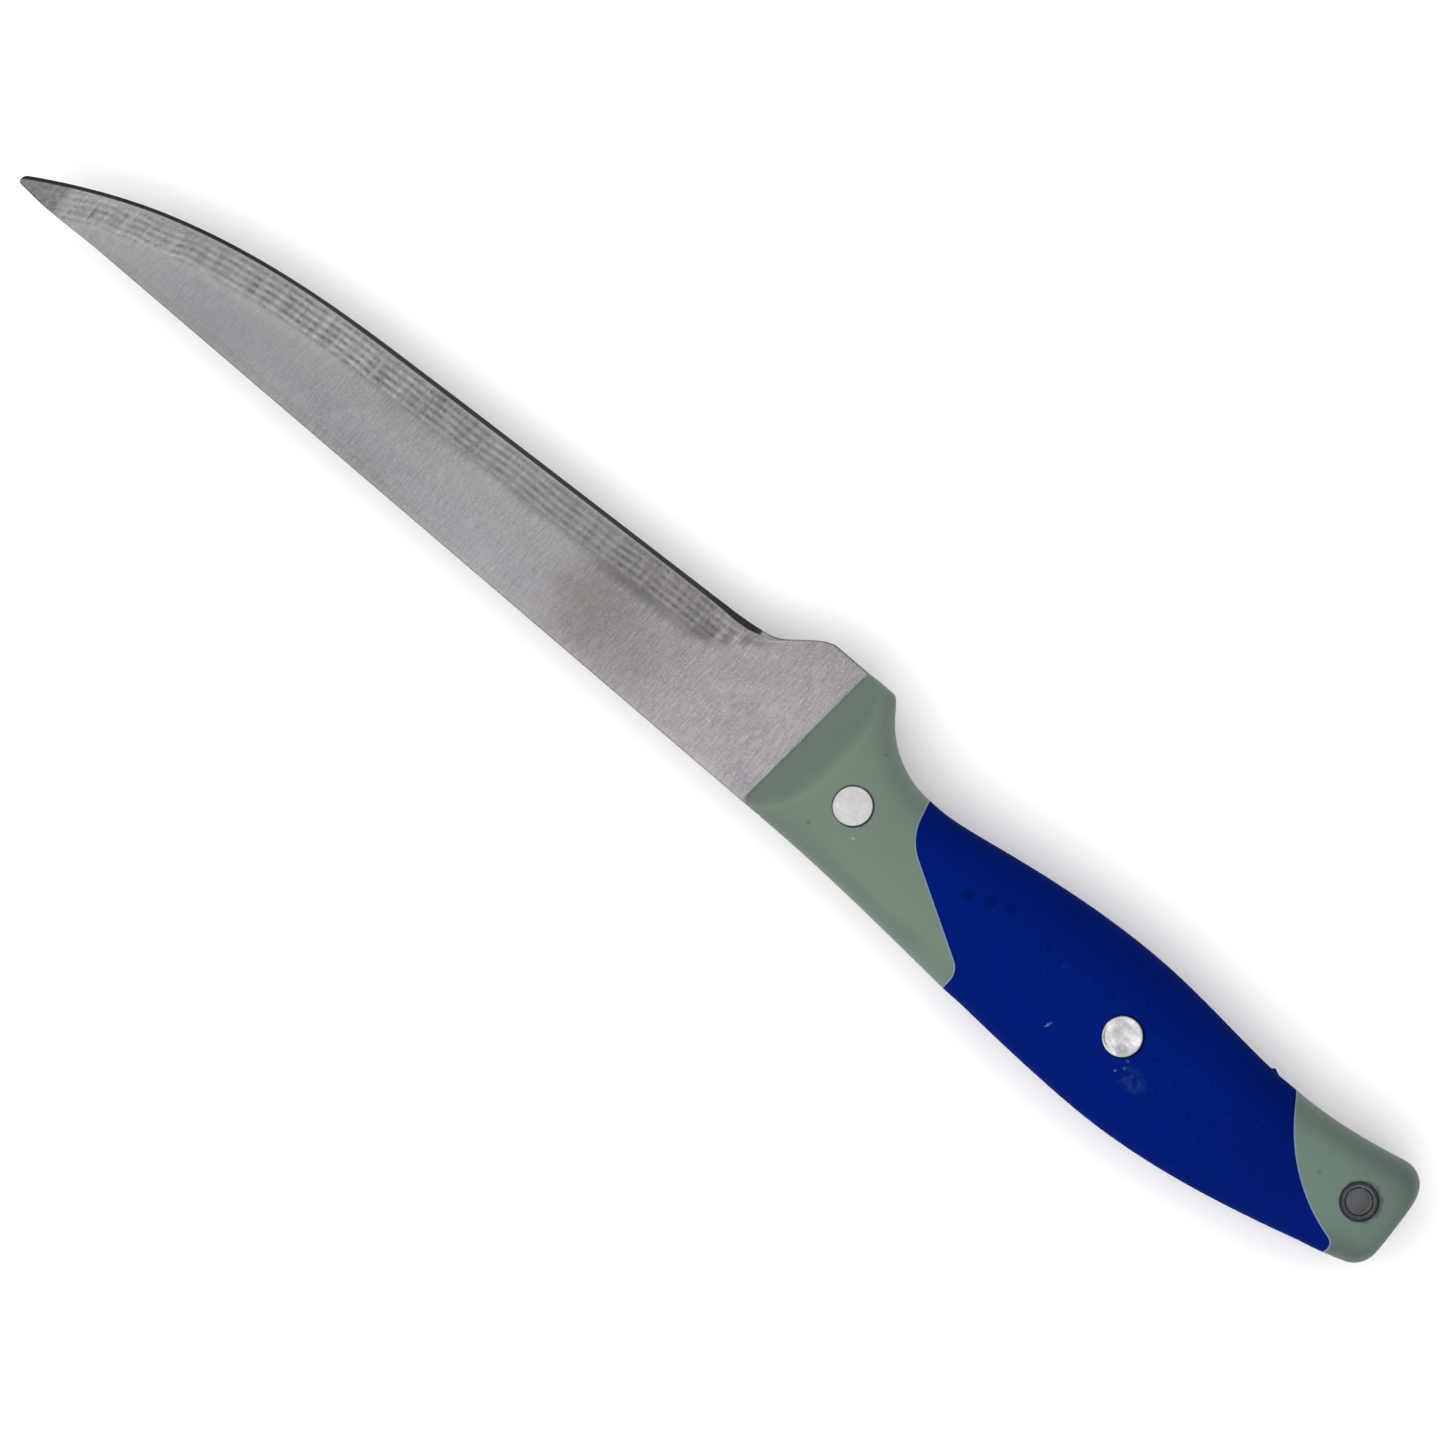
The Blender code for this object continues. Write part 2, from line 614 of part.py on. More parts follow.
def make_tang_slot(cutters):
    """The slot that the blade's root and tang sit in, open at the back and at the guard."""
    half = BLADE_THICKNESS / 2 + CLEARANCE
    end = TANG_LENGTH + CLEARANCE
    spans = [
        (-BEYOND, BEYOND, -HEEL_DEPTH - BEYOND),
        (ROOT_LENGTH, BEYOND, -HEEL_DEPTH - BEYOND),
        (ROOT_LENGTH + CLEARANCE, CLEARANCE, -HEEL_DEPTH - CLEARANCE),
    ]
    for behind in tang_stations(ROOT_LENGTH + SHOULDER_RUN + CLEARANCE, end):
        reach = tang_half_depth(behind, end) + CLEARANCE
        spans.append((behind, reach - RIVET_DEPTH, -reach - RIVET_DEPTH))
    rings = []
    for behind, upper, lower in spans:
        corners = ((lower, half), (upper, half), (upper, -half), (lower, -half))
        rings.append([(-behind, y, z) for y, z in corners])
    return loft("tang_slot", rings, cutters)


def make_core(parts, cutters, holes):
    """The hard moulding: bolster, guard, butt and the waist that the grip is moulded round."""
    made = handle_solid("handle_core", 0.0, parts)
    waist = handle_solid("waist", SLEEVE_WALL + CLEARANCE, cutters)
    pocket = plate("grip_pocket", grip_outline(0.0), PALM_THICKNESS, cutters)
    boolean(pocket, waist, "DIFFERENCE")
    boolean(made, pocket, "DIFFERENCE")
    boolean(made, make_nose_cutter(cutters), "DIFFERENCE")
    boolean(made, make_tang_slot(cutters), "DIFFERENCE")
    for hole in holes:
        boolean(made, hole, "DIFFERENCE")
    return made


def make_sleeve(parts, cutters, hole):
    """The soft grip, moulded round the waist between its two seams."""
    made = handle_solid("grip_sleeve", 0.0, parts)
    boolean(made, plate("grip_trim", grip_outline(CLEARANCE), PALM_THICKNESS, cutters), "INTERSECT")
    boolean(made, handle_solid("grip_bore", SLEEVE_WALL, cutters), "DIFFERENCE")
    boolean(made, hole, "DIFFERENCE")
    return made


def make_rivet(name, behind, parts):
    """A solid rivet, peened to a low crown that ends flush with the handle's sides."""
    top = side_height(behind, RIVET_DEPTH)
    radius = RIVET_DIAMETER / 2
    shoulder = top - RIVET_CROWN
    half = [
        (0.0, top),
        (radius * RIVET_CROWN_STEP, top - RIVET_CROWN * RIVET_CROWN_STEP ** 2),
        (radius - RIVET_CHAMFER, shoulder),
        (radius, shoulder - RIVET_CHAMFER),
    ]
    other_half = [(x, -z) for x, z in reversed(half)]
    made = turned(name, half + other_half, False, parts)
    made.location = (-behind, -RIVET_DEPTH, 0.0)
    return made


def make_tube(parts):
    """The metal tube that lines the hole in the butt."""
    behind = HANDLE_LENGTH - TUBE_FROM_BUTT
    top = side_height(behind, TUBE_DEPTH)
    outer = TUBE_OUTER_DIAMETER / 2
    inner = outer - TUBE_WALL
    made = turned("lanyard_tube", [(outer, top), (outer, -top), (inner, -top), (inner, top)], True, parts)
    made.location = (-behind, -TUBE_DEPTH, 0.0)
    return made


def finish(piece, look, carrier):
    """Gives a piece its material and shading, and hangs it on the carrier."""
    piece.data.materials.append(look)
    piece.data.shade_smooth()
    piece.data.set_sharp_from_angle(angle=SMOOTH_ANGLE)
    piece.parent = carrier


def main():
    """Builds the knife in an empty scene."""
    for old in list(bpy.data.objects):
        bpy.data.objects.remove(old)
    parts, cutters = collections()
    hole_size = RIVET_DIAMETER + 2 * CLEARANCE
    middle_behind = TANG_LENGTH - MIDDLE_RIVET_FROM_TANG_END
    front_hole = drill("front_rivet_hole", FRONT_RIVET_BEHIND, RIVET_DEPTH, hole_size, cutters)
    middle_hole = drill("middle_rivet_hole", middle_behind, RIVET_DEPTH, hole_size, cutters)
    tube_hole = drill(
        "tube_hole",
        HANDLE_LENGTH - TUBE_FROM_BUTT,
        TUBE_DEPTH,
        TUBE_OUTER_DIAMETER + 2 * CLEARANCE,
        cutters,
    )
    carrier = bpy.data.objects.new("knife_datum", None)
    parts.objects.link(carrier)
    carrier.location = (
        (HANDLE_LENGTH - BLADE_LENGTH) / 2,
        (GUARD_DEPTH - CROWN_RISE) / 2,
        PALM_THICKNESS / 2,
    )
    aluminium = material("aluminium", *ALUMINIUM)
    pieces = [
        (make_blade(parts, [front_hole, middle_hole]), material("steel", *STEEL)),
        (
            make_core(parts, cutters, [front_hole, middle_hole, tube_hole]),
            material("green_plastic", *GREEN_PLASTIC),
        ),
        (make_sleeve(parts, cutters, middle_hole), material("blue_grip", *BLUE_GRIP)),
        (make_rivet("front_rivet", FRONT_RIVET_BEHIND, parts), aluminium),
        (make_rivet("middle_rivet", middle_behind, parts), aluminium),
        (make_tube(parts), material("tube_metal", *TUBE_METAL)),
    ]
    for piece, look in pieces:
        finish(piece, look, carrier)
    for cutter in cutters.objects:
        cutter.parent = carrier


main()
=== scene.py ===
"""Sticking knife: the looks of its blade, two-colour handle, rivets and lanyard tube.

The knife lies on its side. X runs from the butt to the tip, Y from the cutting edge to the
spine, and Z up through the thickness. Its pieces are drawn from a datum at the front end of
the handle, where the handle's front face meets the line of the spine, on the plane through
the middle of the blade, and are then moved to the place that the frame gives them. Distances
"behind" run from the handle's front face towards the butt, and depths run from the line of the
spine towards the cutting edge.
"""

import math

import bmesh
import bpy
import numpy as np
from bpy.props import FloatProperty, FloatVectorProperty, PointerProperty
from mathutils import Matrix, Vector


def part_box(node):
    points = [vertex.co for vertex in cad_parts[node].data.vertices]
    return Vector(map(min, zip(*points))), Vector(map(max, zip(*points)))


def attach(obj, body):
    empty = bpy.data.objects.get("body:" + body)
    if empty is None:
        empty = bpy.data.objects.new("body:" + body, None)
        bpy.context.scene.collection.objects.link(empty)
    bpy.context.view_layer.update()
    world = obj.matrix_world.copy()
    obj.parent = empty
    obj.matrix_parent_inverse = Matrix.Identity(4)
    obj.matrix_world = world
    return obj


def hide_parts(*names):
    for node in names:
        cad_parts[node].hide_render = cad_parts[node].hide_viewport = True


bl_info = {
    "name": "Sticking Knife",
    "version": (1, 0, 0),
    "blender": (4, 5, 0),
    "location": "3D View > Sidebar > Knife",
    "description": "Adds the finished pieces of a sticking knife with a two-colour moulded handle",
    "category": "Add Mesh",
}

MM = 1000.0  # millimetres in a metre, because the finishes are placed in millimetres

# Blade
TIP_THICKNESS = 0.0019  # the blade's two flats run straight from the front face to this
BLADE_THICKNESS = 0.0024
HEEL_DEPTH = 0.0299
HEEL_RUN = 0.0044  # straight bottom of the heel, in front of the handle
NOTCH_RUN = 0.0100  # curve from the heel up to the edge
NOTCH_DEPTH = 0.0241
NOTCH_SLOPE = 0.20  # slopes of the outline are heights for each unit of run
EDGE_START = 0.0220
EDGE_START_DEPTH = 0.0232
EDGE_START_SLOPE = 0.052
BELLY_LENGTH = 0.0667  # curved part of the edge, measured back from the tip
BELLY_DEPTH = 0.01945
BELLY_SLOPE = 0.060
SWEEP_LENGTH = 0.0227  # steep last part of the edge, measured back from the tip
SWEEP_DEPTH = 0.0122
SWEEP_SLOPE = 0.33
TIP_DEPTH = 0.0015
TIP_SLOPE = 0.60
TIP_RADIUS = 0.0007
TIP_STOP = 0.000035  # the last section lies this far short of the tip
SPINE_SWELL = 0.0003  # the spine rises by this just behind the tip
SPINE_SWELL_START = 0.0180
SPINE_SWELL_TOP = 0.0060
SPINE_ROUNDING = 0.00025
SPINE_ROUNDING_MOST_SHARE = 0.20  # of the blade's depth, which limits it at the tip
GRIND_WIDTH = 0.0070  # from the edge up to where the grinding ends
GRIND_MOST_SHARE = 0.75
GRIND_START = 0.0110  # the ground band climbs between these two, in front of the handle
GRIND_FULL = 0.0250
PLUNGE_START = 0.0100  # the edge thins between these two
PLUNGE_END = 0.0190
BEVEL_MOST_SHARE = 0.25
GRIND_HOLLOW = 1.5  # 1 would be a flat grind with a sharp upper border
BEVEL_THICKNESS = 0.0006
EDGE_THICKNESS = 0.00012
RIPPLE_PHASE = 0.53  # share of the pitch that the grinding lines are shifted by
RIPPLE_FADE = 0.0008  # the ripples of the grinding die out over this at both sides of the band
RIPPLE_START = 0.0140  # the ripples come in from here, in front of the handle
RIPPLE_RISE = 0.0060
RIPPLE_END = 0.0040  # and have died out here, measured back from the tip
RIPPLE_FALL = 0.0080
WILD_LENGTH = 0.0400  # they waver more over this length, measured back from the tip
WILD_RISE = 0.0200

# Unevenness of the grinding lines: its lengths along and across them, its seed and its strength
LONG_WAVES = (0.0090, 0.0200, 3)
LONG_WAVES_SHIFT = (0.16, 0.50)  # in shares of the pitch, where the lines are calm and wild
SHORT_WAVES = (0.0030, 0.0040, 4)
SHORT_WAVES_SHIFT = (0.08, 0.30)
LINE_FADING = (0.0060, 0.0016, 5, 0.26)
LINE_BREAKS = (0.0006, 0.0012, 9, 0.70)
CROSS_TICKS = (0.00055, 0.0042, 6, 0.44)
CROSS_BARS = (0.0012, 0.0060, 8, 0.06)
PATCHES = (0.0024, 0.0018, 7, 0.10)
LINE_STRENGTH = 0.60
LINE_EVEN = 0.78  # the lines' share that is even, before their fading and breaks
UNEVEN_CELLS = 256  # the unevenness repeats after this many patches

# Tang, the part of the blade inside the handle
ROOT_LENGTH = 0.0034
SHOULDER_RUN = 0.0008
TANG_LENGTH = 0.0950
TANG_FRONT_DEPTH = 0.0124
TANG_END_DEPTH = 0.0100
TANG_END_RADIUS = 0.0030

# Handle outline seen from the side
HANDLE_LENGTH = 0.1291
FRONT_LEAN = math.radians(4.4)  # front face, from square to the spine
FRONT_RADIUS = 0.0010
LIP_CORNER_HEIGHT = 0.0019  # the front face curves back over this at the spine and at the guard
LIP_CORNER_RUN = 0.0010
GUARD_DEPTH = 0.03005
GUARD_BLEND = 0.0025
HOLLOW_BEHIND = 0.0240  # deepest point of the finger hollow
HOLLOW_DEPTH = 0.0204
HOLLOW_RADIUS = 0.0170
BELLY_GRIP_BEHIND = 0.0400
BELLY_GRIP_DEPTH = 0.0225
BELLY_GRIP_FALL = 0.17
PALM_BEHIND = 0.0700
PALM_DEPTH = 0.02543
NECK_FROM_BUTT = 0.0270
NECK_DEPTH = 0.0235
BUTT_DEPTH = 0.0277
BUTT_BELLY_FALL = 0.24
BACK_START = 0.0060
CROWN_BEHIND = 0.0740
CROWN_RISE = 0.0031
SHOULDER_FROM_BUTT = 0.0080  # from here the back falls more steeply to the butt
SHOULDER_DROP = 0.0054
SHOULDER_FALL = 0.30
BUTT_DROP = 0.0082
BUTT_BACK_FALL = 0.40
BUTT_BACK_RADIUS = 0.0030
BUTT_BELLY_RADIUS = 0.0060
BUTT_LEAN = math.radians(3.0)  # butt end, from square to the spine
BUTT_LEAN_DEPTH = 0.0112  # the butt end leans about this depth
BUTT_LEAN_RUN = 0.0180  # the lean dies out over this, in front of the butt end
BUTT_STOP = 0.000030  # the butt end is drawn this far short of the solid's
BUTT_EDGE_RADIUS = 0.0030

# Handle thickness
FRONT_THICKNESS = 0.0128
FRONT_SWELL = 0.03
PALM_THICKNESS = 0.0170
NECK_THICKNESS = 0.0146
BUTT_THICKNESS = 0.0156
SECTION_POWER = 2.6  # 2 would be an ellipse, and a higher power is squarer
LIP_THICKNESS = 0.0009  # moulding beside the blade at the front face
LIP_RADIUS = 0.0003
FACET_SLOPE = math.radians(34.0)  # slanted facets of the bolster, from the blade's side
FACET_BLEND = 0.0009

# Soft grip and its seams
SLEEVE_WALL = 0.0018
FRONT_SEAM_LOW = 0.0238
FRONT_SEAM_LOW_DEPTH = 0.0204
FRONT_SEAM_BEND = 0.0254  # where its two lower runs would cross
FRONT_SEAM_BEND_DEPTH = 0.0136
FRONT_SEAM_BEND_RADIUS = 0.0090
FRONT_SEAM_HIGH = 0.0457
FRONT_SEAM_HIGH_DEPTH = 0.0018
FRONT_SEAM_HIGH_RADIUS = 0.0034
REAR_SEAM_LOW = 0.0276
REAR_SEAM_LOW_DEPTH = 0.0234
REAR_SEAM_BEND = 0.0199
REAR_SEAM_BEND_DEPTH = 0.0116
REAR_SEAM_BEND_RADIUS = 0.0300
REAR_SEAM_HIGH = 0.0065
REAR_SEAM_HIGH_DEPTH = 0.0078
REAR_SEAM_HIGH_RADIUS = 0.0016
REAR_SEAM_HIGH_LEAN = 0.165
SEAM_RUN_ON = 0.0100  # the seams run on this far past the handle's outline
SEAM_EASE = 0.00004  # tiny rounding of both mouldings along a seam
SEAM_GAP = 0.00002

# Raised dots, in two fans of leaning columns that draw together at their ends
DOT_ROWS = 5
DOT_COLUMNS = 7
DOT_TOP_DEPTH = 0.0041
DOT_LOWEST_DEPTH = 0.0189
DOT_LOWEST_BEND = 9.1  # the lowest dots rise by this times the square of their way to the front
DOT_BEND_START = -0.0640
DOT_RIVET_ROOM = 0.0047
FAN_BORDER = -0.0765
FAN_STRETCH = 0.13  # each of the last columns has this much more room than the one before
FAN_STRETCH_START = 4
FRONT_FAN = {
    "start": -0.0704,
    "pitch": 0.0044,
    "lean": 0.0025,
    "droop": 0.000115,
    "first_rows": 0.0037,
    "rows": 0.0032,
    "end": -0.0380,
}
REAR_FAN = {
    "start": -0.0783,
    "pitch": -0.0038,
    "lean": -0.0011,
    "droop": 0.00012,
    "first_rows": 0.0037,
    "rows": 0.0034,
    "end": -0.1025,
}
SINK_SHARE = 0.06  # the grip sinks by a dot's height over this share of its length at each end

# Nib of the moulding gate on the grip's belly
NIB_BEHIND = 0.0968
NIB_LENGTH = 0.0018
NIB_HEIGHT = 0.0005

# Rivets and tube
RIVET_DEPTH = 0.01135
FRONT_RIVET_BEHIND = 0.0146
MIDDLE_RIVET_FROM_TANG_END = 0.0216
TUBE_FROM_BUTT = 0.0079
TUBE_DEPTH = 0.0161
TUBE_FLARE_DEPTH = 0.0007
TUBE_EDGE = 0.0001  # rounding of the tube's outer rim
TANG_FIT = 0.00003  # room round the tang in its slot
HOLE_FIT = 0.00009  # room round a rivet or the tube in its hole
HEAD_EDGE = 0.00018  # the rim of a rivet's head falls away by this
HEAD_EDGE_SHARE = 0.07
DENT_WIDTH = 0.0011  # marks of the hammer on a rivet's head
DENT_DEPTH = 0.00003
DENT_FADE_SHARE = 0.15
DENT_SHIFT = 40  # shifts of the unevenness that the marks are taken from, in marks
DENT_SIDE_SHIFT = 9
FIRST_DENT_SEED = 20

# Tints of the finishes
VIOLET_STEEL = (0.297, 0.288, 0.315)
ROSY_STEEL = (0.383, 0.339, 0.335)
WARM_STEEL = (0.296, 0.280, 0.265)
STRAW_STEEL = (0.343, 0.339, 0.300)
BURNT_STEEL = (0.191, 0.184, 0.170)
DULL_STEEL = (0.283, 0.297, 0.271)
# painted shade: the dark colour of the blade's rims and of the heel's end of the sharpened strip
SHADED_RIM_STEEL = (0.043, 0.033, 0.030)
# lighter part of the painted shade on the tube's flared ends
LIGHTER_LIP_SHADE = (0.117, 0.126, 0.143)
PALE_GREEN = (0.296, 0.330, 0.296)
# painted shade towards the butt
SHADED_BUTT_GREEN = (0.108, 0.157, 0.130)
SEAM_BLUE = (0.148, 0.235, 0.357)
SMEARED_BLUE = (0.0191, 0.039, 0.130)
SCRATCHED_BLUE = (0.174, 0.209, 0.330)

# Marks of use and darker or brighter dots, each with its centre and radii in millimetres and its strength
GREEN_SPECKS = (
    ((-10.7, -4.6), (0.55, 0.45), 1.0),
    ((-13.2, -21.4), (0.40, 0.35), 1.0),
    ((-112.9, -15.6), (0.60, 0.45), 0.7),
)
GREEN_FLECK = (((-18.1, -7.3), (0.35, 0.30), 0.7),)
DARKER_DOTS = (
    ((-38.8, -12.7), (1.3, 1.4), 0.34),
    ((-42.3, -14.1), (1.3, 1.3), 0.34),
    ((-45.6, -15.4), (1.3, 1.3), 0.34),
)
BRIGHT_DOT = (((-58.5, -14.2), (1.0, 0.9), 0.45),)
SMEAR = (((-79.3, -6.8), (3.4, 2.3), 0.55),)
SCRATCH = (((-61.1, -4.85), (0.28, 0.95), 0.75),)
PALE_SPECKS = (
    ((-77.2, -7.6), (0.34, 0.30), 0.75),
    ((-76.8, -8.8), (0.34, 0.30), 0.75),
    ((-76.2, -6.3), (0.34, 0.30), 0.75),
)

# Marks on the middle rivet, with their centres measured from its axis: painted shade in a groove, a dull
# patch and painted highlights
RIVET_GROOVE_SHADE = (((1.9, 1.9), (2.7, 2.5), 0.60),)
RIVET_DULL = (((-1.5, 1.8), (1.9, 1.3), 0.42),)
RIVET_HIGHLIGHTS = (((2.5, 0.3), (0.9, 0.7), 0.34), ((-2.3, -0.9), (1.2, 1.0), 0.34))

# Mesh resolution
BLADE_PITCH = 0.00028
ROOT_PITCH = 0.0006
TANG_PITCH = 0.0040
TIP_STEPS = 12
TANG_END_STEPS = 8
BEVEL_ROWS = 4
GRIND_ROWS = 34
FLAT_ROWS = 14
ROUND_ROWS = 4
HANDLE_COLUMNS = 320
COLUMN_SHIFT = 0.1  # crowds the columns where the seams run at a shallow slope
LIP_ROWS = 9
LIP_SHARE = 0.03  # of the nose, where the rows lie closer
NOSE_ROWS = 86
NOSE_END_SHARE = 0.002  # the last full row lies this share short of the seam
SLEEVE_ROWS = 250
SLEEVE_END_SHARE = 0.001
WAIST_ROWS = 24
BUTT_ROWS = 46
BUTT_START_SHARE = 0.003
BUTT_NEXT_SHARE = 0.02
END_RINGS = 5
FLARE_RINGS = 8
SETTLE_STEPS = 40
SEAM_LINE_STEPS = 24
SMOOTH_ANGLE = math.radians(32.0)
MERGE = 0.000001
ROUND_OFF = 1e-9
FACING = 0.9  # a face looks up or down where its normal does by more than this
BEYOND = 0.0200  # cutters and seams reach this far past what they cut
ROUND_STEPS = 96
HEAD_RINGS = 14

# Stage
CAMERA_X = -0.00328
CAMERA_Y = 0.00559
CAMERA_TURN = math.radians(220.545)
SENSOR_WIDTH = 36.0
FLOOR_SIZE = 12.0

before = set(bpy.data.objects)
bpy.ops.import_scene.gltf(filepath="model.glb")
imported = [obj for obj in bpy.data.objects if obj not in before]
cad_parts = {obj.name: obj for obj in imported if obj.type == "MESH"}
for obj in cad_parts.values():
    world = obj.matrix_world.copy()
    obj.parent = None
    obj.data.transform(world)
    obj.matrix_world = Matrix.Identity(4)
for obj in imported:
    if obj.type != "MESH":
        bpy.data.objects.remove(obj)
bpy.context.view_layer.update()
core_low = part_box("handle_core")[0]
sleeve_low, sleeve_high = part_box("grip_sleeve")
tip_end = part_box("blade")[1].x
DATUM = Vector((
    core_low.x + HANDLE_LENGTH,
    core_low.y + GUARD_DEPTH,
    (sleeve_low.z + sleeve_high.z) / 2,
))
BLADE_LENGTH = tip_end + TIP_STOP - DATUM.x
BODY = "root"


def length(name, description, default, least, most):
    """A setting that is a length."""
    return FloatProperty(
        name=name,
        description=description,
        default=default,
        min=least,
        max=most,
        precision=5,
        unit="LENGTH",
    )


def amount(name, description, default, most=1.0, subtype="FACTOR"):
    """A setting between 0 and a greatest amount."""
    return FloatProperty(
        name=name,
        description=description,
        default=default,
        min=0.0,
        max=most,
        subtype=subtype,
    )


def tint(name, description, default):
    """A setting that is a colour."""
    return FloatVectorProperty(
        name=name,
        description=description,
        default=default,
        min=0.0,
        max=1.0,
        size=3,
        subtype="COLOR",
    )


class BladeSettings(bpy.types.PropertyGroup):
    """Finish of the blade."""

    bevel_width: length(
        "Sharpened strip", "Width of the sharpened strip along the edge", 0.0008, 0.0002, 0.003
    )
    ripple_pitch: length(
        "Grinding line pitch", "Distance between two grinding lines along the edge", 0.00128, 0.0005, 0.005
    )
    ripple_height: length("Grinding line height", "How deep the grinding lines are", 0.000010, 0.0, 0.0001)
    steel: tint("Steel", "Colour that the steel reflects", (0.311, 0.306, 0.310))
    # the sharpened strip's dark colour is painted shade, for the dark reflection of its tilted face
    bevel: tint(
        "Sharpened strip colour", "Colour that the sharpened strip reflects", (0.026, 0.027, 0.033)
    )


class HandleSettings(bpy.types.PropertyGroup):
    """Finish of the hard moulding."""

    green: tint("Hard moulding", "Colour of the hard grey-green moulding", (0.122, 0.168, 0.131))
    roughness: amount("Roughness", "How matt the hard moulding is", 0.52)


class GripSettings(bpy.types.PropertyGroup):
    """Raised dots and finish of the soft grip."""

    dot_width: length("Dot width", "Width of a raised dot", 0.0016, 0.0005, 0.004)
    dot_height: length("Dot height", "How far a dot stands out of the grip", 0.00017, 0.0, 0.001)
    blue: tint("Soft moulding", "Colour of the soft blue moulding", (0.0003, 0.0091, 0.137))
    roughness: amount("Roughness", "How matt the soft moulding is", 0.62)


class RivetSettings(bpy.types.PropertyGroup):
    """Size and finish of the rivets."""

    diameter: length("Rivet diameter", "Diameter of both rivets", 0.0069, 0.003, 0.012)
    crown: length("Rivet crown", "How far a rivet's head rises in its middle", 0.00015, 0.0, 0.001)
    metal: tint("Rivet metal", "Colour that the rivets reflect", (0.591, 0.583, 0.600))


class TubeSettings(bpy.types.PropertyGroup):
    """Size and finish of the lanyard tube."""

    diameter: length("Tube diameter", "Outer diameter of the lanyard tube", 0.0065, 0.005, 0.012)
    mouth: length("Mouth", "Diameter of the tube's flared mouth", 0.0057, 0.004, 0.010)
    bore: length("Bore", "Diameter of the hole through the tube", 0.0044, 0.002, 0.009)
    # the flared ends' dark colour is painted shade
    lip: tint("Flared end", "Colour that the dark flared ends reflect", (0.039, 0.045, 0.056))
    metal: tint("Tube metal", "Colour that the tube's bore reflects", (0.95, 0.97, 1.00))


class StageSettings(bpy.types.PropertyGroup):
    """Camera, floor and light."""

    camera_distance: length(
        "Camera distance", "How far the camera stands above the knife's middle plane", 2.4, 0.3, 10.0
    )
    view_width: length("View width", "Width of what the camera sees at the knife", 0.240, 0.1, 1.0)
    floor: tint("Floor", "Colour of the floor", (0.97, 0.97, 0.97))
    overhead: amount("Overhead light", "Strength of the light from high up", 2.28, 5.0, "NONE")
    horizon: amount("Low light", "Strength of the light from the horizon", 0.253, 5.0, "NONE")
    lean: amount("Lean", "How much brighter the light is on the spine's side than on the edge's", 0.40)
    dimming: amount("Dimming", "How much the light is dimmed straight overhead, around the camera", 0.60)


def flow(knots, at):
    """Heights at distances along (distance, height, slope) knots, eased from each to the next."""
    distances, heights, slopes = np.array(knots).T
    at = np.asarray(at, float)
    i = np.clip(np.searchsorted(distances, at) - 1, 0, len(knots) - 2)
    run = distances[i + 1] - distances[i]
    u = (at - distances[i]) / run
    first = ((1 + 2 * u) * heights[i] + u * run * slopes[i]) * (1 - u) ** 2
    last = ((3 - 2 * u) * heights[i + 1] - (1 - u) * run * slopes[i + 1]) * u ** 2
    return first + last


def rounding(radius, inside):
    """How far a corner of this radius falls short, at distances inside the end."""
    inside = np.clip(inside, 0.0, radius)
    return radius - np.sqrt(radius ** 2 - (radius - inside) ** 2)


def blended_minimum(a, b, width):
    """The smaller of two heights, with the corner between them rounded over a width."""
    near = np.maximum(width - np.abs(a - b), 0.0) / width
    return np.minimum(a, b) - near ** 2 * width / 4


def eased(share):
    """A share from 0 to 1 that starts and ends softly."""
    share = np.clip(share, 0.0, 1.0)
    return share ** 2 * (3 - 2 * share)


def between(low, high, share):
    """The value that lies at a share of the way from low to high."""
    return low + (high - low) * share


def steps(start, end, pitch):
    """Evenly spaced numbers from start up to, and without, the end, at most a pitch apart."""
    count = max(math.ceil(abs(end - start) / pitch), 1)
    return np.linspace(start, end, count, endpoint=False)


def crowding(start, end, count):
    """Numbers from start to the end that crowd together towards the end."""
    return start + (end - start) * np.sin(np.linspace(0.0, math.pi / 2, count + 1))


def unevenness(x, y, seed):
    """Soft, seeded unevenness between -1 and 1, in patches of one unit."""
    cells = np.random.default_rng(seed).uniform(-1.0, 1.0, (UNEVEN_CELLS + 1, UNEVEN_CELLS + 1))
    i, j = np.floor(x).astype(int), np.floor(y).astype(int)
    u, v = eased(x - i), eased(y - j)
    i, j = i % UNEVEN_CELLS, j % UNEVEN_CELLS
    near = between(cells[i, j], cells[i + 1, j], u)
    far = between(cells[i, j + 1], cells[i + 1, j + 1], u)
    return between(near, far, v)


def back_height(behind, inset):
    """Height of the handle's back, or of a surface sunk below it."""
    knots = [
        (BACK_START, 0.0, 0.0),
        (CROWN_BEHIND, CROWN_RISE, 0.0),
        (HANDLE_LENGTH - SHOULDER_FROM_BUTT, -SHOULDER_DROP, -SHOULDER_FALL),
        (HANDLE_LENGTH, -BUTT_DROP, -BUTT_BACK_FALL),
    ]
    height = flow(knots, np.maximum(behind, BACK_START))
    height = height - rounding(FRONT_RADIUS, behind)
    return height - rounding(BUTT_BACK_RADIUS, HANDLE_LENGTH - behind) - inset


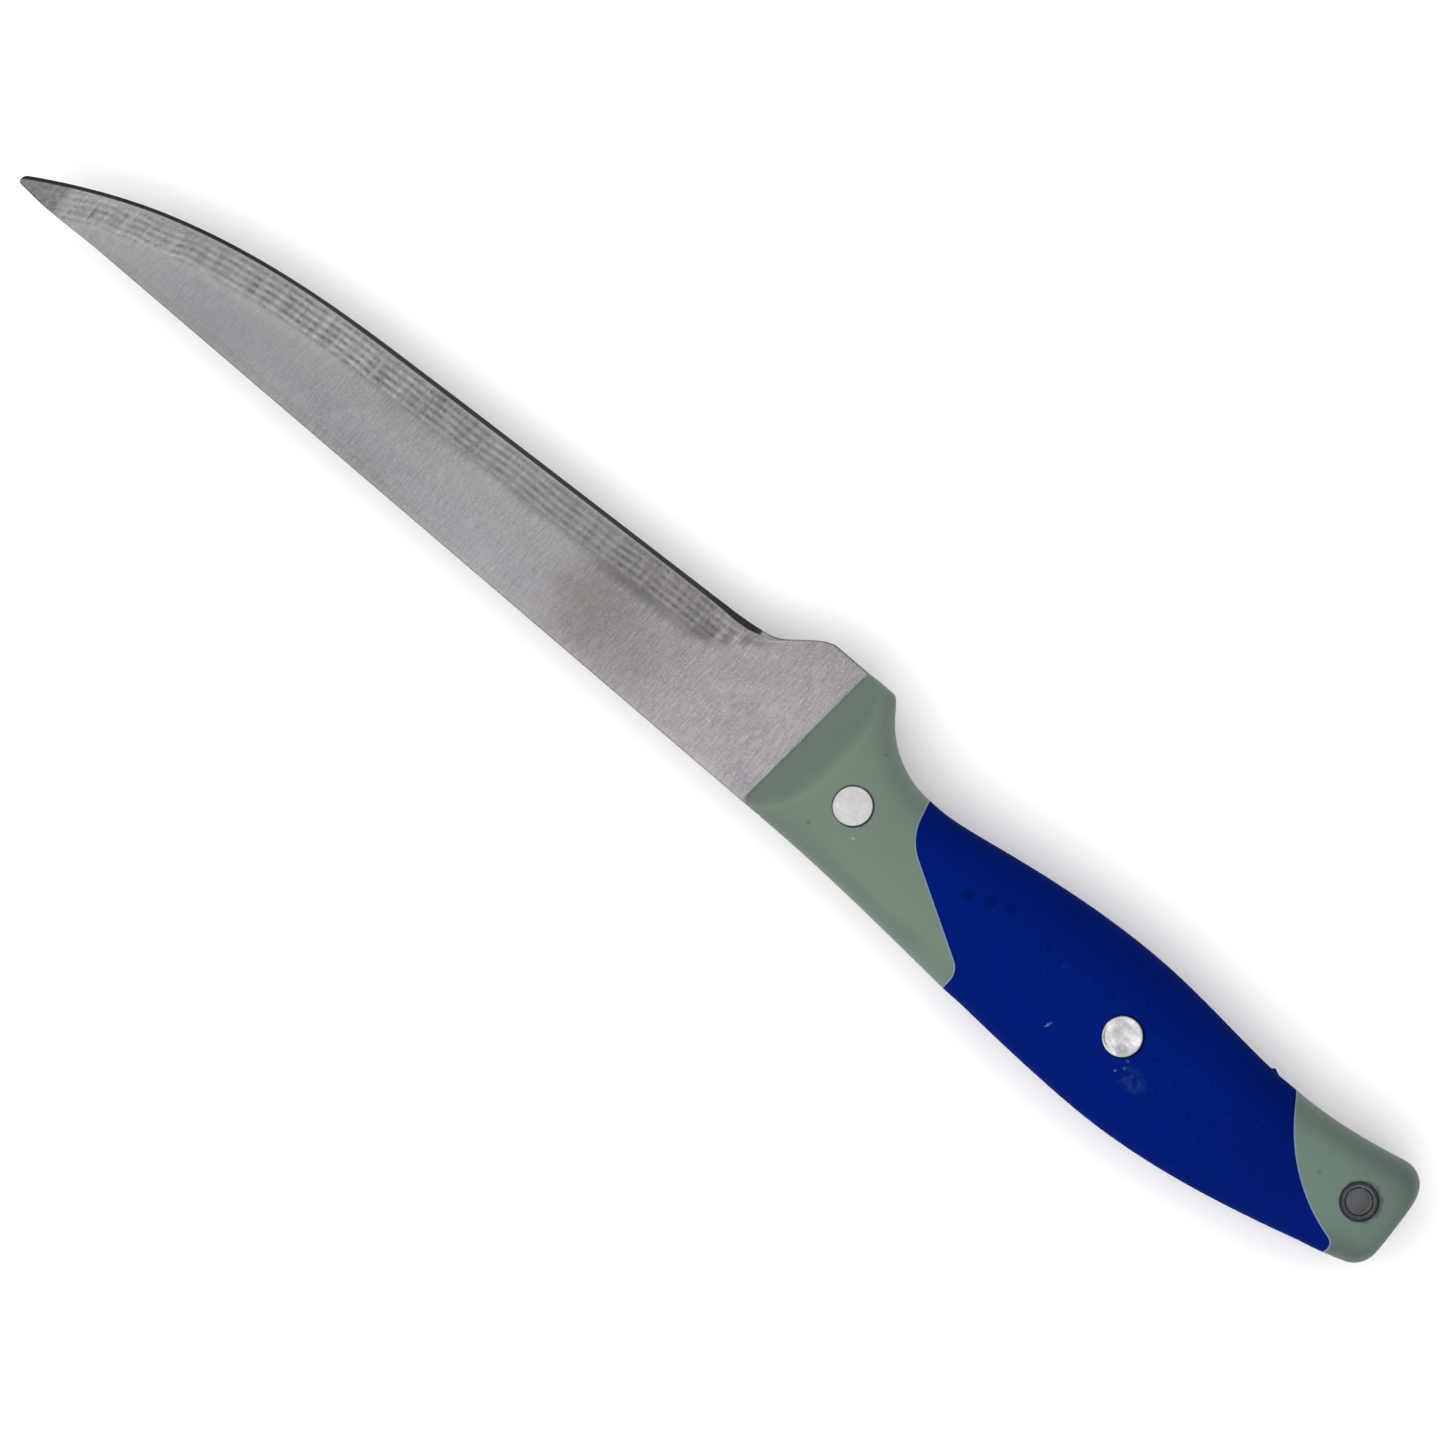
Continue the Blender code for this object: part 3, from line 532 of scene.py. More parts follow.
def belly_height(behind, inset):
    """Height of the handle's belly, with its guard and finger hollow, or of a sunk surface."""
    away = np.clip(HOLLOW_BEHIND - behind, 0.0, HOLLOW_RADIUS)
    hollow = HOLLOW_DEPTH + HOLLOW_RADIUS - np.sqrt(HOLLOW_RADIUS ** 2 - away ** 2)
    guard = -blended_minimum(hollow, GUARD_DEPTH, GUARD_BLEND)
    guard = guard + rounding(FRONT_RADIUS, behind - GUARD_DEPTH * math.tan(FRONT_LEAN))
    knots = [
        (HOLLOW_BEHIND, -HOLLOW_DEPTH, 0.0),
        (BELLY_GRIP_BEHIND, -BELLY_GRIP_DEPTH, -BELLY_GRIP_FALL),
        (PALM_BEHIND, -PALM_DEPTH, 0.0),
        (HANDLE_LENGTH - NECK_FROM_BUTT, -NECK_DEPTH, 0.0),
        (HANDLE_LENGTH, -BUTT_DEPTH, -BUTT_BELLY_FALL),
    ]
    grip = flow(knots, np.maximum(behind, HOLLOW_BEHIND))
    grip = grip + rounding(BUTT_BELLY_RADIUS, HANDLE_LENGTH - behind)
    return np.where(behind < HOLLOW_BEHIND, guard, grip) + inset


def full_half(behind):
    """Half the handle's greatest thickness, without the rounding of the butt end."""
    knots = [
        (0.0, FRONT_THICKNESS / 2, FRONT_SWELL),
        (PALM_BEHIND, PALM_THICKNESS / 2, 0.0),
        (HANDLE_LENGTH - NECK_FROM_BUTT, NECK_THICKNESS / 2, 0.0),
        (HANDLE_LENGTH, BUTT_THICKNESS / 2, 0.0),
    ]
    return flow(knots, behind)


def half_thickness(behind, inset):
    """Half the handle's greatest thickness, or that of a sunk surface."""
    return full_half(behind) - rounding(BUTT_EDGE_RADIUS, HANDLE_LENGTH - behind) - inset


def side_height(behind, depth):
    """Height of the handle's domed side above the middle plane."""
    back = back_height(behind, 0.0)
    belly = belly_height(behind, 0.0)
    across = np.abs(2 * (-depth - belly) / (back - belly) - 1)
    half = half_thickness(behind, 0.0) * (1 - across ** SECTION_POWER) ** (1 / SECTION_POWER)
    return float(half)


def filleted(corners, radii):
    """An open line through corners, with an arc of its own radius at each inner corner."""
    points = [corners[0]]
    for before, corner, after, radius in zip(corners, corners[1:], corners[2:], radii):
        middle = Vector(corner)
        back = (Vector(before) - middle).normalized()
        ahead = (Vector(after) - middle).normalized()
        half_angle = back.angle(ahead) / 2
        centre = middle + (back + ahead).normalized() * (radius / math.sin(half_angle))
        start = middle + back * (radius / math.tan(half_angle)) - centre
        turn = (math.pi - 2 * half_angle) * math.copysign(1.0, back.x * ahead.y - back.y * ahead.x)
        for i in range(SEAM_LINE_STEPS + 1):
            angle = -turn * i / SEAM_LINE_STEPS
            cosine, sine = math.cos(angle), math.sin(angle)
            arm = Vector((start.x * cosine - start.y * sine, start.x * sine + start.y * cosine))
            points.append(tuple(centre + arm))
    points.append(corners[-1])
    return points


def butt_lean(station, height):
    """How much farther behind a point lies than its section, because the butt end leans."""
    share = np.clip(1 - (HANDLE_LENGTH - station) / BUTT_LEAN_RUN, 0.0, None)
    return share ** 2 * math.tan(BUTT_LEAN) * (height + BUTT_LEAN_DEPTH)


def butt_face(height):
    """How far behind the datum the leaning butt end lies at each height."""
    return HANDLE_LENGTH - BUTT_STOP + butt_lean(HANDLE_LENGTH, height)


def front_face(height):
    """How far behind the datum the leaning front face lies at each height."""
    depth = np.clip(-height, 0.0, GUARD_DEPTH)
    corner = rounding(LIP_CORNER_HEIGHT, depth) + rounding(LIP_CORNER_HEIGHT, GUARD_DEPTH - depth)
    return depth * math.tan(FRONT_LEAN) + corner * LIP_CORNER_RUN / LIP_CORNER_HEIGHT


def seam_line(height, low, bend, high, end, radii, run_on):
    """How far behind the datum a seam lies at each height, as a line with two rounded bends."""
    first_run = np.subtract(low, bend)
    start = tuple(low + first_run / np.hypot(*first_run) * run_on)
    behind, heights = np.array(filleted([start, bend, high, end], radii)).T
    return np.interp(height, heights, behind)


def front_seam(height):
    """How far behind the datum the front seam lies at each height."""
    return seam_line(
        height,
        low=(FRONT_SEAM_LOW, -FRONT_SEAM_LOW_DEPTH),
        bend=(FRONT_SEAM_BEND, -FRONT_SEAM_BEND_DEPTH),
        high=(FRONT_SEAM_HIGH, -FRONT_SEAM_HIGH_DEPTH),
        end=(FRONT_SEAM_HIGH, CROWN_RISE + SEAM_RUN_ON),
        radii=(FRONT_SEAM_BEND_RADIUS, FRONT_SEAM_HIGH_RADIUS),
        run_on=SEAM_RUN_ON,
    )


def rear_seam(height):
    """How far behind the datum the rear seam lies at each height."""
    high = HANDLE_LENGTH - REAR_SEAM_HIGH
    return seam_line(
        height,
        low=(HANDLE_LENGTH - REAR_SEAM_LOW, -REAR_SEAM_LOW_DEPTH),
        bend=(HANDLE_LENGTH - REAR_SEAM_BEND, -REAR_SEAM_BEND_DEPTH),
        high=(high, -REAR_SEAM_HIGH_DEPTH),
        end=(high - REAR_SEAM_HIGH_LEAN * SEAM_RUN_ON, SEAM_RUN_ON - REAR_SEAM_HIGH_DEPTH),
        radii=(REAR_SEAM_BEND_RADIUS, REAR_SEAM_HIGH_RADIUS),
        run_on=SEAM_RUN_ON / 2,
    )


def facet_height(behind, height):
    """Height of the bolster's slanted facet above the middle plane."""
    into = behind - front_face(height)
    facet = BLADE_THICKNESS / 2 + LIP_THICKNESS + into * math.tan(FACET_SLOPE)
    return facet - rounding(LIP_RADIUS, into)


def seam_distance(points, seam):
    """How far points lie from a seam, in millimetres."""
    height = points[..., 1]
    lean = (seam(height + SEAM_EASE) - seam(height - SEAM_EASE)) / (2 * SEAM_EASE)
    return np.abs(-points[..., 0] - seam(height)) / np.sqrt(1 + lean ** 2) * MM


def handle_rows(start, end, shares, inset):
    """Rows of points round the handle, each at a share of the way from one line to another.

    The lines are functions that give how far behind the datum they lie at each height. The
    height of a point depends on how far behind it lies and the other way round, so both are
    settled in turns.
    """
    turn = np.linspace(0.0, 2 * math.pi, HANDLE_COLUMNS + 1)[None, :]
    turn = turn + COLUMN_SHIFT * np.sin(4 * turn)
    cosine, sine = np.cos(turn), np.sin(turn)
    reach = (np.abs(cosine) ** SECTION_POWER + np.abs(sine) ** SECTION_POWER) ** (-1 / SECTION_POWER)
    share = np.asarray(shares, float)[:, None]
    inset = np.broadcast_to(inset, (len(share), HANDLE_COLUMNS + 1))
    height = np.full(inset.shape, -RIVET_DEPTH)
    station = np.zeros(inset.shape)
    for _ in range(SETTLE_STEPS):
        behind = between(start(height), end(height), share)
        station = behind - butt_lean(station, height)
        back = back_height(station, inset)
        belly = belly_height(station, inset)
        settled = (back + belly) / 2 + (back - belly) / 2 * cosine * reach
        height = (height + settled) / 2
    out = half_thickness(station, inset) * sine * reach
    out = np.copysign(blended_minimum(np.abs(out), facet_height(behind, height), FACET_BLEND), out)
    out = np.where(np.abs(sine) < ROUND_OFF, 0.0, out)
    return np.stack((-behind, height, out), -1)


def tang_stations():
    """Distances in front of the handle, below 0, of the tang's sections."""
    start = ROOT_LENGTH + SHOULDER_RUN
    end = TANG_LENGTH - TANG_END_RADIUS
    return np.concatenate((steps(-start, -end, TANG_PITCH), -crowding(end, TANG_LENGTH, TANG_END_STEPS)))


def blade_stations():
    """Distances in front of the handle of the blade's sections, from the tip to the tang's end."""
    tip = BLADE_LENGTH - 2 * TIP_RADIUS
    return np.concatenate((
        crowding(tip, BLADE_LENGTH - TIP_STOP, TIP_STEPS)[:0:-1],
        steps(tip, 0.0, BLADE_PITCH),
        steps(0.0, -ROOT_LENGTH, ROOT_PITCH),
        [-ROOT_LENGTH],
        tang_stations(),
    ))


def blade_outline(at):
    """Heights of the upper and the lower side of the blade and its tang."""
    edge_knots = [
        (0.0, -HEEL_DEPTH, 0.0),
        (HEEL_RUN, -HEEL_DEPTH, 0.0),
        (HEEL_RUN + NOTCH_RUN, -NOTCH_DEPTH, NOTCH_SLOPE),
        (EDGE_START, -EDGE_START_DEPTH, EDGE_START_SLOPE),
        (BLADE_LENGTH - BELLY_LENGTH, -BELLY_DEPTH, BELLY_SLOPE),
        (BLADE_LENGTH - SWEEP_LENGTH, -SWEEP_DEPTH, SWEEP_SLOPE),
        (BLADE_LENGTH, -TIP_DEPTH, TIP_SLOPE),
    ]
    spine_knots = [
        (BLADE_LENGTH - SPINE_SWELL_START, 0.0, 0.0),
        (BLADE_LENGTH - SPINE_SWELL_TOP, SPINE_SWELL, 0.0),
        (BLADE_LENGTH, 0.0, 0.0),
    ]
    corner = rounding(TIP_RADIUS, BLADE_LENGTH - at)
    lower = flow(edge_knots, np.maximum(at, 0.0)) + corner
    upper = flow(spine_knots, np.maximum(at, BLADE_LENGTH - SPINE_SWELL_START)) - corner
    tang_start = ROOT_LENGTH + SHOULDER_RUN
    along = (-at - tang_start) / (TANG_LENGTH - tang_start)
    half = between(TANG_FRONT_DEPTH, TANG_END_DEPTH, along) / 2
    half = half - rounding(TANG_END_RADIUS, TANG_LENGTH + at)
    in_tang = at < -ROOT_LENGTH - SHOULDER_RUN / 2
    return np.where(in_tang, half - RIVET_DEPTH, upper), np.where(in_tang, -half - RIVET_DEPTH, lower)


def grinding(at, from_edge, pitch):
    """Brightness of the wavy grinding lines between -1 and 1, with their cross ticks."""

    def uneven(length_along, length_across, seed, strength=1.0):
        return strength * unevenness(at / length_along, from_edge / length_across, seed)

    wild = eased((at - BLADE_LENGTH + WILD_LENGTH) / WILD_RISE)
    wander = between(*LONG_WAVES_SHIFT, wild) * uneven(*LONG_WAVES)
    wander = wander + between(*SHORT_WAVES_SHIFT, wild) * uneven(*SHORT_WAVES)
    line = np.sin(2 * math.pi * (from_edge / pitch + wander + RIPPLE_PHASE))
    strength = LINE_EVEN + uneven(*LINE_FADING) + uneven(*LINE_BREAKS)
    extra = uneven(*CROSS_TICKS) + uneven(*CROSS_BARS) + uneven(*PATCHES)
    return np.clip(LINE_STRENGTH * line * strength + extra, -1.0, 1.0)


def blade_sheet(blade):
    """Points, pattern places and ripples of one side of the blade, from the edge up to the spine."""
    at = blade_stations()[None, :]
    upper, lower = blade_outline(at)
    depth = upper - lower

    # Heights from the edge and half thicknesses where the strip, the ground band and the flat meet
    flat = between(BLADE_THICKNESS, TIP_THICKNESS, np.maximum(at, 0.0) / BLADE_LENGTH) / 2
    corner = np.minimum(SPINE_ROUNDING, depth * SPINE_ROUNDING_MOST_SHARE)
    thinned = eased((at - PLUNGE_START) / (PLUNGE_END - PLUNGE_START))
    climbed = eased((at - GRIND_START) / (GRIND_FULL - GRIND_START))
    strip = between(corner, blade.bevel_width, thinned)
    reach = strip + between(corner, GRIND_WIDTH - strip, climbed)
    edge_half = between(flat - corner, EDGE_THICKNESS / 2, thinned)
    strip_half = between(flat, BEVEL_THICKNESS / 2, thinned)
    strip_row = np.minimum(strip, depth * BEVEL_MOST_SHARE)
    reach_row = np.maximum(np.minimum(reach, depth * GRIND_MOST_SHARE), strip_row)
    spine_row = depth - corner

    # Rows from the edge up to the spine's rounding
    rows = [between(0.0, strip_row, s) for s in steps(0.0, 1.0, 1 / BEVEL_ROWS)]
    rows += [between(strip_row, reach_row, s) for s in steps(0.0, 1.0, 1 / GRIND_ROWS)]
    rows += [between(reach_row, spine_row, s) for s in steps(0.0, 1.0, 1 / FLAT_ROWS)]
    turns = np.linspace(0.0, math.pi / 2, ROUND_ROWS + 1)
    rows += [spine_row + corner * math.sin(turn) for turn in turns]
    from_edge = np.concatenate(rows, 0)

    # Half thickness, with the hollow of the grinding and the rounded spine
    on_strip = between(edge_half, strip_half, from_edge / strip)
    short = 1 - np.clip((from_edge - strip) / (reach - strip), 0.0, 1.0)
    on_ground = between(flat, strip_half, short ** GRIND_HOLLOW)
    half = np.where(from_edge < strip, on_strip, on_ground)
    for row, turn in enumerate(turns, len(rows) - ROUND_ROWS - 1):
        drop = np.minimum(corner, half[row] / 2)
        half[row] -= (drop * (1 - math.cos(turn)))[0]

    # Ripples of the grinding
    at = np.broadcast_to(at, from_edge.shape)
    mask = eased((from_edge - strip) / RIPPLE_FADE) * eased((reach - from_edge) / RIPPLE_FADE)
    mask = mask * eased((at - RIPPLE_START) / RIPPLE_RISE)
    mask = mask * eased((BLADE_LENGTH - RIPPLE_END - at) / RIPPLE_FALL)
    ripple = grinding(at, from_edge, blade.ripple_pitch) * mask
    half = half - blade.ripple_height * (mask + ripple) / 2

    # The outermost rows lie on the middle plane, where the blade's two sides meet
    points = np.stack((at, lower + from_edge, half), -1)
    points = np.concatenate((points[:1] * (1, 1, 0), points, points[-1:] * (1, 1, 0)), 0)
    places = np.stack((at, from_edge, depth - from_edge), -1) * MM
    places, ripple = (np.concatenate((rows[:1], rows, rows[-1:]), 0) for rows in (places, ripple))
    return points, places, ripple


def deselect():
    """Leaves nothing selected, so that an operator acts only on what is added next."""
    for thing in bpy.context.selected_objects:
        thing.select_set(False)
    bpy.context.view_layer.objects.active = None


def only(piece):
    """Selects one object and makes it the active one."""
    deselect()
    piece.select_set(True)
    bpy.context.view_layer.objects.active = piece


def pick(kind, test):
    """Selects the faces, edges or verts in edit mode that pass a test, and no others."""
    bpy.ops.mesh.select_all(action="DESELECT")
    mesh = bpy.context.object.data
    shape = bmesh.from_edit_mesh(mesh)
    for item in getattr(shape, kind):
        if test(item):
            item.select_set(True)
    bmesh.update_edit_mesh(mesh)


def sheet(name, points):
    """A grid laid over rows of points, with equally many points in each row."""
    rows, columns = points.shape[:2]
    deselect()
    bpy.ops.mesh.primitive_grid_add(x_subdivisions=columns - 1, y_subdivisions=rows - 1, size=1.0)
    laid = bpy.context.object
    laid.name = name
    mesh = laid.data
    flat = np.empty(len(mesh.vertices) * 3, np.float32)
    mesh.vertices.foreach_get("co", flat)
    column = np.rint((flat[0::3] + 0.5) * (columns - 1)).astype(int)
    row = np.rint((flat[1::3] + 0.5) * (rows - 1)).astype(int)
    mesh.vertices.foreach_set("co", points[row, column].astype(np.float32).ravel())
    mesh.update()
    return laid, row, column


def keep(piece, name, numbers):
    """Gives each point of a mesh a number, or a vector, that its finish reads."""
    numbers = np.asarray(numbers, np.float32)
    kind, field = ("FLOAT", "value") if numbers.ndim == 1 else ("FLOAT_VECTOR", "vector")
    made = piece.data.attributes.new(name, kind, "POINT")
    made.data.foreach_set(field, numbers.ravel())


def close_up(piece):
    """Joins a sheet's meeting borders, closes its open ends and points its faces outwards."""
    only(piece)
    bpy.ops.object.mode_set(mode="EDIT")
    bpy.ops.mesh.select_all(action="SELECT")
    bpy.ops.mesh.remove_doubles(threshold=MERGE)
    bpy.ops.mesh.fill_holes(sides=0)
    bpy.ops.mesh.select_all(action="SELECT")
    bpy.ops.mesh.normals_make_consistent(inside=False)
    bpy.ops.object.mode_set(mode="OBJECT")


def apply(piece, kind, **settings):
    """Adds a modifier with its settings and applies it."""
    only(piece)
    made = piece.modifiers.new(kind.lower(), kind)
    for name, value in settings.items():
        setattr(made, name, value)
    bpy.ops.object.modifier_apply(modifier=made.name)


def cut(piece, cutter):
    """Cuts one solid out of another and removes the cutter."""
    apply(piece, "BOOLEAN", operation="DIFFERENCE", solver="EXACT", object=cutter)
    bpy.data.objects.remove(cutter)


def rod(behind, depth, radius, height, middle=0.0, ends="NGON"):
    """A round rod across the handle, with its middle at a height above the middle plane."""
    deselect()
    bpy.ops.mesh.primitive_cylinder_add(
        vertices=ROUND_STEPS,
        radius=radius,
        depth=height,
        end_fill_type=ends,
        location=(-behind, -depth, middle),
    )
    return bpy.context.object


def drill(piece, behind, depth, diameter):
    """Cuts a round hole through the whole thickness of the handle, with its room."""
    cut(piece, rod(behind, depth, diameter / 2 + HOLE_FIT, PALM_THICKNESS + BEYOND))


def settle(piece, node, material):
    """Moves a finished piece to its place in the frame, gives it its finish, puts it under the body and
    hides the part that it stands for.
    """
    only(piece)
    piece.location = piece.location + DATUM
    bpy.ops.object.transform_apply(location=True, rotation=True, scale=True)
    bpy.ops.object.shade_smooth_by_angle(angle=SMOOTH_ANGLE)
    piece.data.materials.clear()
    piece.data.materials.append(material)
    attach(piece, BODY)
    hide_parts(node)


def maths(operation, turned=False):
    """A method of a signal that adds a Math node, with the signal first or, turned, last."""

    def method(signal, *others):
        values = (*others, signal) if turned else (signal, *others)
        return signal.nodes.signal("ShaderNodeMath", 0, dict(enumerate(values)), operation=operation)

    return method


class Signal:
    """What one socket gives. Arithmetic on it adds the Math nodes that work it out."""

    def __init__(self, nodes, socket):
        self.nodes = nodes
        self.socket = socket

    __add__, __radd__ = maths("ADD"), maths("ADD", turned=True)
    __sub__, __rsub__ = maths("SUBTRACT"), maths("SUBTRACT", turned=True)
    __mul__, __rmul__ = maths("MULTIPLY"), maths("MULTIPLY", turned=True)
    __truediv__, __pow__, __abs__ = maths("DIVIDE"), maths("POWER"), maths("ABSOLUTE")
    at_least, root = maths("MAXIMUM"), maths("SQRT")

    def fade(self, start, end):
        """0 up to start, 1 from end on, and a soft rise between them."""
        return self.nodes.signal(
            "ShaderNodeMapRange",
            "Result",
            {"Value": self, "From Min": start, "From Max": end},
            interpolation_type="SMOOTHSTEP",
        )

    def fall(self, start, end):
        """1 up to start, 0 from end on, and a soft fall between them."""
        return 1.0 - self.fade(start, end)

    def band(self, start, end, soft):
        """1 between two values and 0 outside them, with soft borders."""
        return self.fade(start - soft, start + soft) * self.fall(end - soft, end + soft)


class Nodes:
    """A node tree whose nodes are added by calls."""

    def __init__(self, owner):
        owner.use_nodes = True
        self.tree = owner.node_tree

    def signal(self, kind, output, sockets, **settings):
        """Adds a node, with its settings first and then its sockets, and gives one of its outputs."""
        made = self.tree.nodes.new(kind)
        for name, value in settings.items():
            setattr(made, name, value)
        for name, value in sockets.items():
            self.feed(made.inputs[name], value)
        return Signal(self, made.outputs[output])

    def feed(self, socket, value):
        """Links a signal to a socket, or sets its value."""
        if isinstance(value, Signal):
            self.tree.links.new(value.socket, socket)
        else:
            socket.default_value = value

    def coordinates(self, kind):
        """One of the coordinates that Blender gives for a point or a direction."""
        return self.signal("ShaderNodeTexCoord", kind, {})

    def attribute(self, name, output="Fac"):
        """A number, or with the output Vector a vector, that the mesh holds for each of its points."""
        return self.signal("ShaderNodeAttribute", output, {}, attribute_name=name)

    def split(self, vector):
        """The three numbers of a vector."""
        first = self.signal("ShaderNodeSeparateXYZ", "X", {"Vector": vector})
        return [Signal(self, output) for output in first.socket.node.outputs]

    def stretched(self, vector, scale, location=(0.0, 0.0, 0.0)):
        """A vector with each direction scaled by its own factor."""
        sockets = {"Vector": vector, "Scale": scale, "Location": location}
        return self.signal("ShaderNodeMapping", "Vector", sockets)

    def noise(self, vector, scale, detail, roughness):
        """Soft unevenness from 0 to 1, in patches of about 1 divided by the scale."""
        sockets = {"Vector": vector, "Scale": scale, "Detail": detail, "Roughness": roughness}
        return self.signal("ShaderNodeTexNoise", "Fac", sockets)

    def cells(self, vector, scale):
        """Distance to the nearest of scattered points."""
        return self.signal("ShaderNodeTexVoronoi", "Distance", {"Vector": vector, "Scale": scale})

    def mix(self, factor, first, second):
        """A colour between two, which may be colours or signals."""
        first, second = (c if isinstance(c, Signal) else (*c, 1.0) for c in (first, second))
        return self.signal("ShaderNodeMix", 2, {0: factor, 6: first, 7: second}, data_type="RGBA")

    def lit(self, colour, factor):
        """A colour made brighter or darker by a factor."""
        colour = colour if isinstance(colour, Signal) else tuple(colour)
        return self.signal("ShaderNodeVectorMath", 0, {0: colour, "Scale": factor}, operation="SCALE")

    def bump(self, height, distance):
        """A normal bent by small heights, where height 1 stands for the distance in metres."""
        sockets = {"Height": height, "Distance": distance, "Strength": 1.0}
        return self.signal("ShaderNodeBump", "Normal", sockets)


class Finish(Nodes):
    """The nodes of a material."""

    def __init__(self, name, metallic, specular=0.5):
        self.material = bpy.data.materials.new(name)
        super().__init__(self.material)
        self.surface = self.tree.nodes["Principled BSDF"]
        self.surface.inputs["Metallic"].default_value = metallic
        self.surface.inputs["Specular IOR Level"].default_value = specular

    def place(self):
        """Millimetres from the datum."""
        sockets = {0: self.coordinates("Object"), 1: DATUM}
        away = self.signal("ShaderNodeVectorMath", 0, sockets, operation="SUBTRACT")
        return self.stretched(away, (MM, MM, MM))

    def set(self, **sockets):
        """Feeds the surface's sockets, named in lower case with underscores."""
        for name, value in sockets.items():
            self.feed(self.surface.inputs[name.replace("_", " ").title()], value)


def near(x, y, centre, radii):
    """1 at a place and 0 from its radii on, in an oval."""
    away = ((x - centre[0]) / radii[0]) ** 2.0 + ((y - centre[1]) / radii[1]) ** 2.0
    return away.fall(0.0, 1.0)


def spots(x, y, places):
    """The strongest of several ovals, each given by its centre, its radii and its strength."""
    strongest = 0.0
    for centre, radii, strength in places:
        strongest = (strength * near(x, y, centre, radii)).at_least(strongest)
    return strongest


def around(x, y, behind, depth, aside):
    """Millimetres from the axis of a hole, moved aside to the butt and the edge."""
    right = x + (behind * MM + aside)
    up = y + (depth * MM + aside)
    return (right * right + up * up).root()


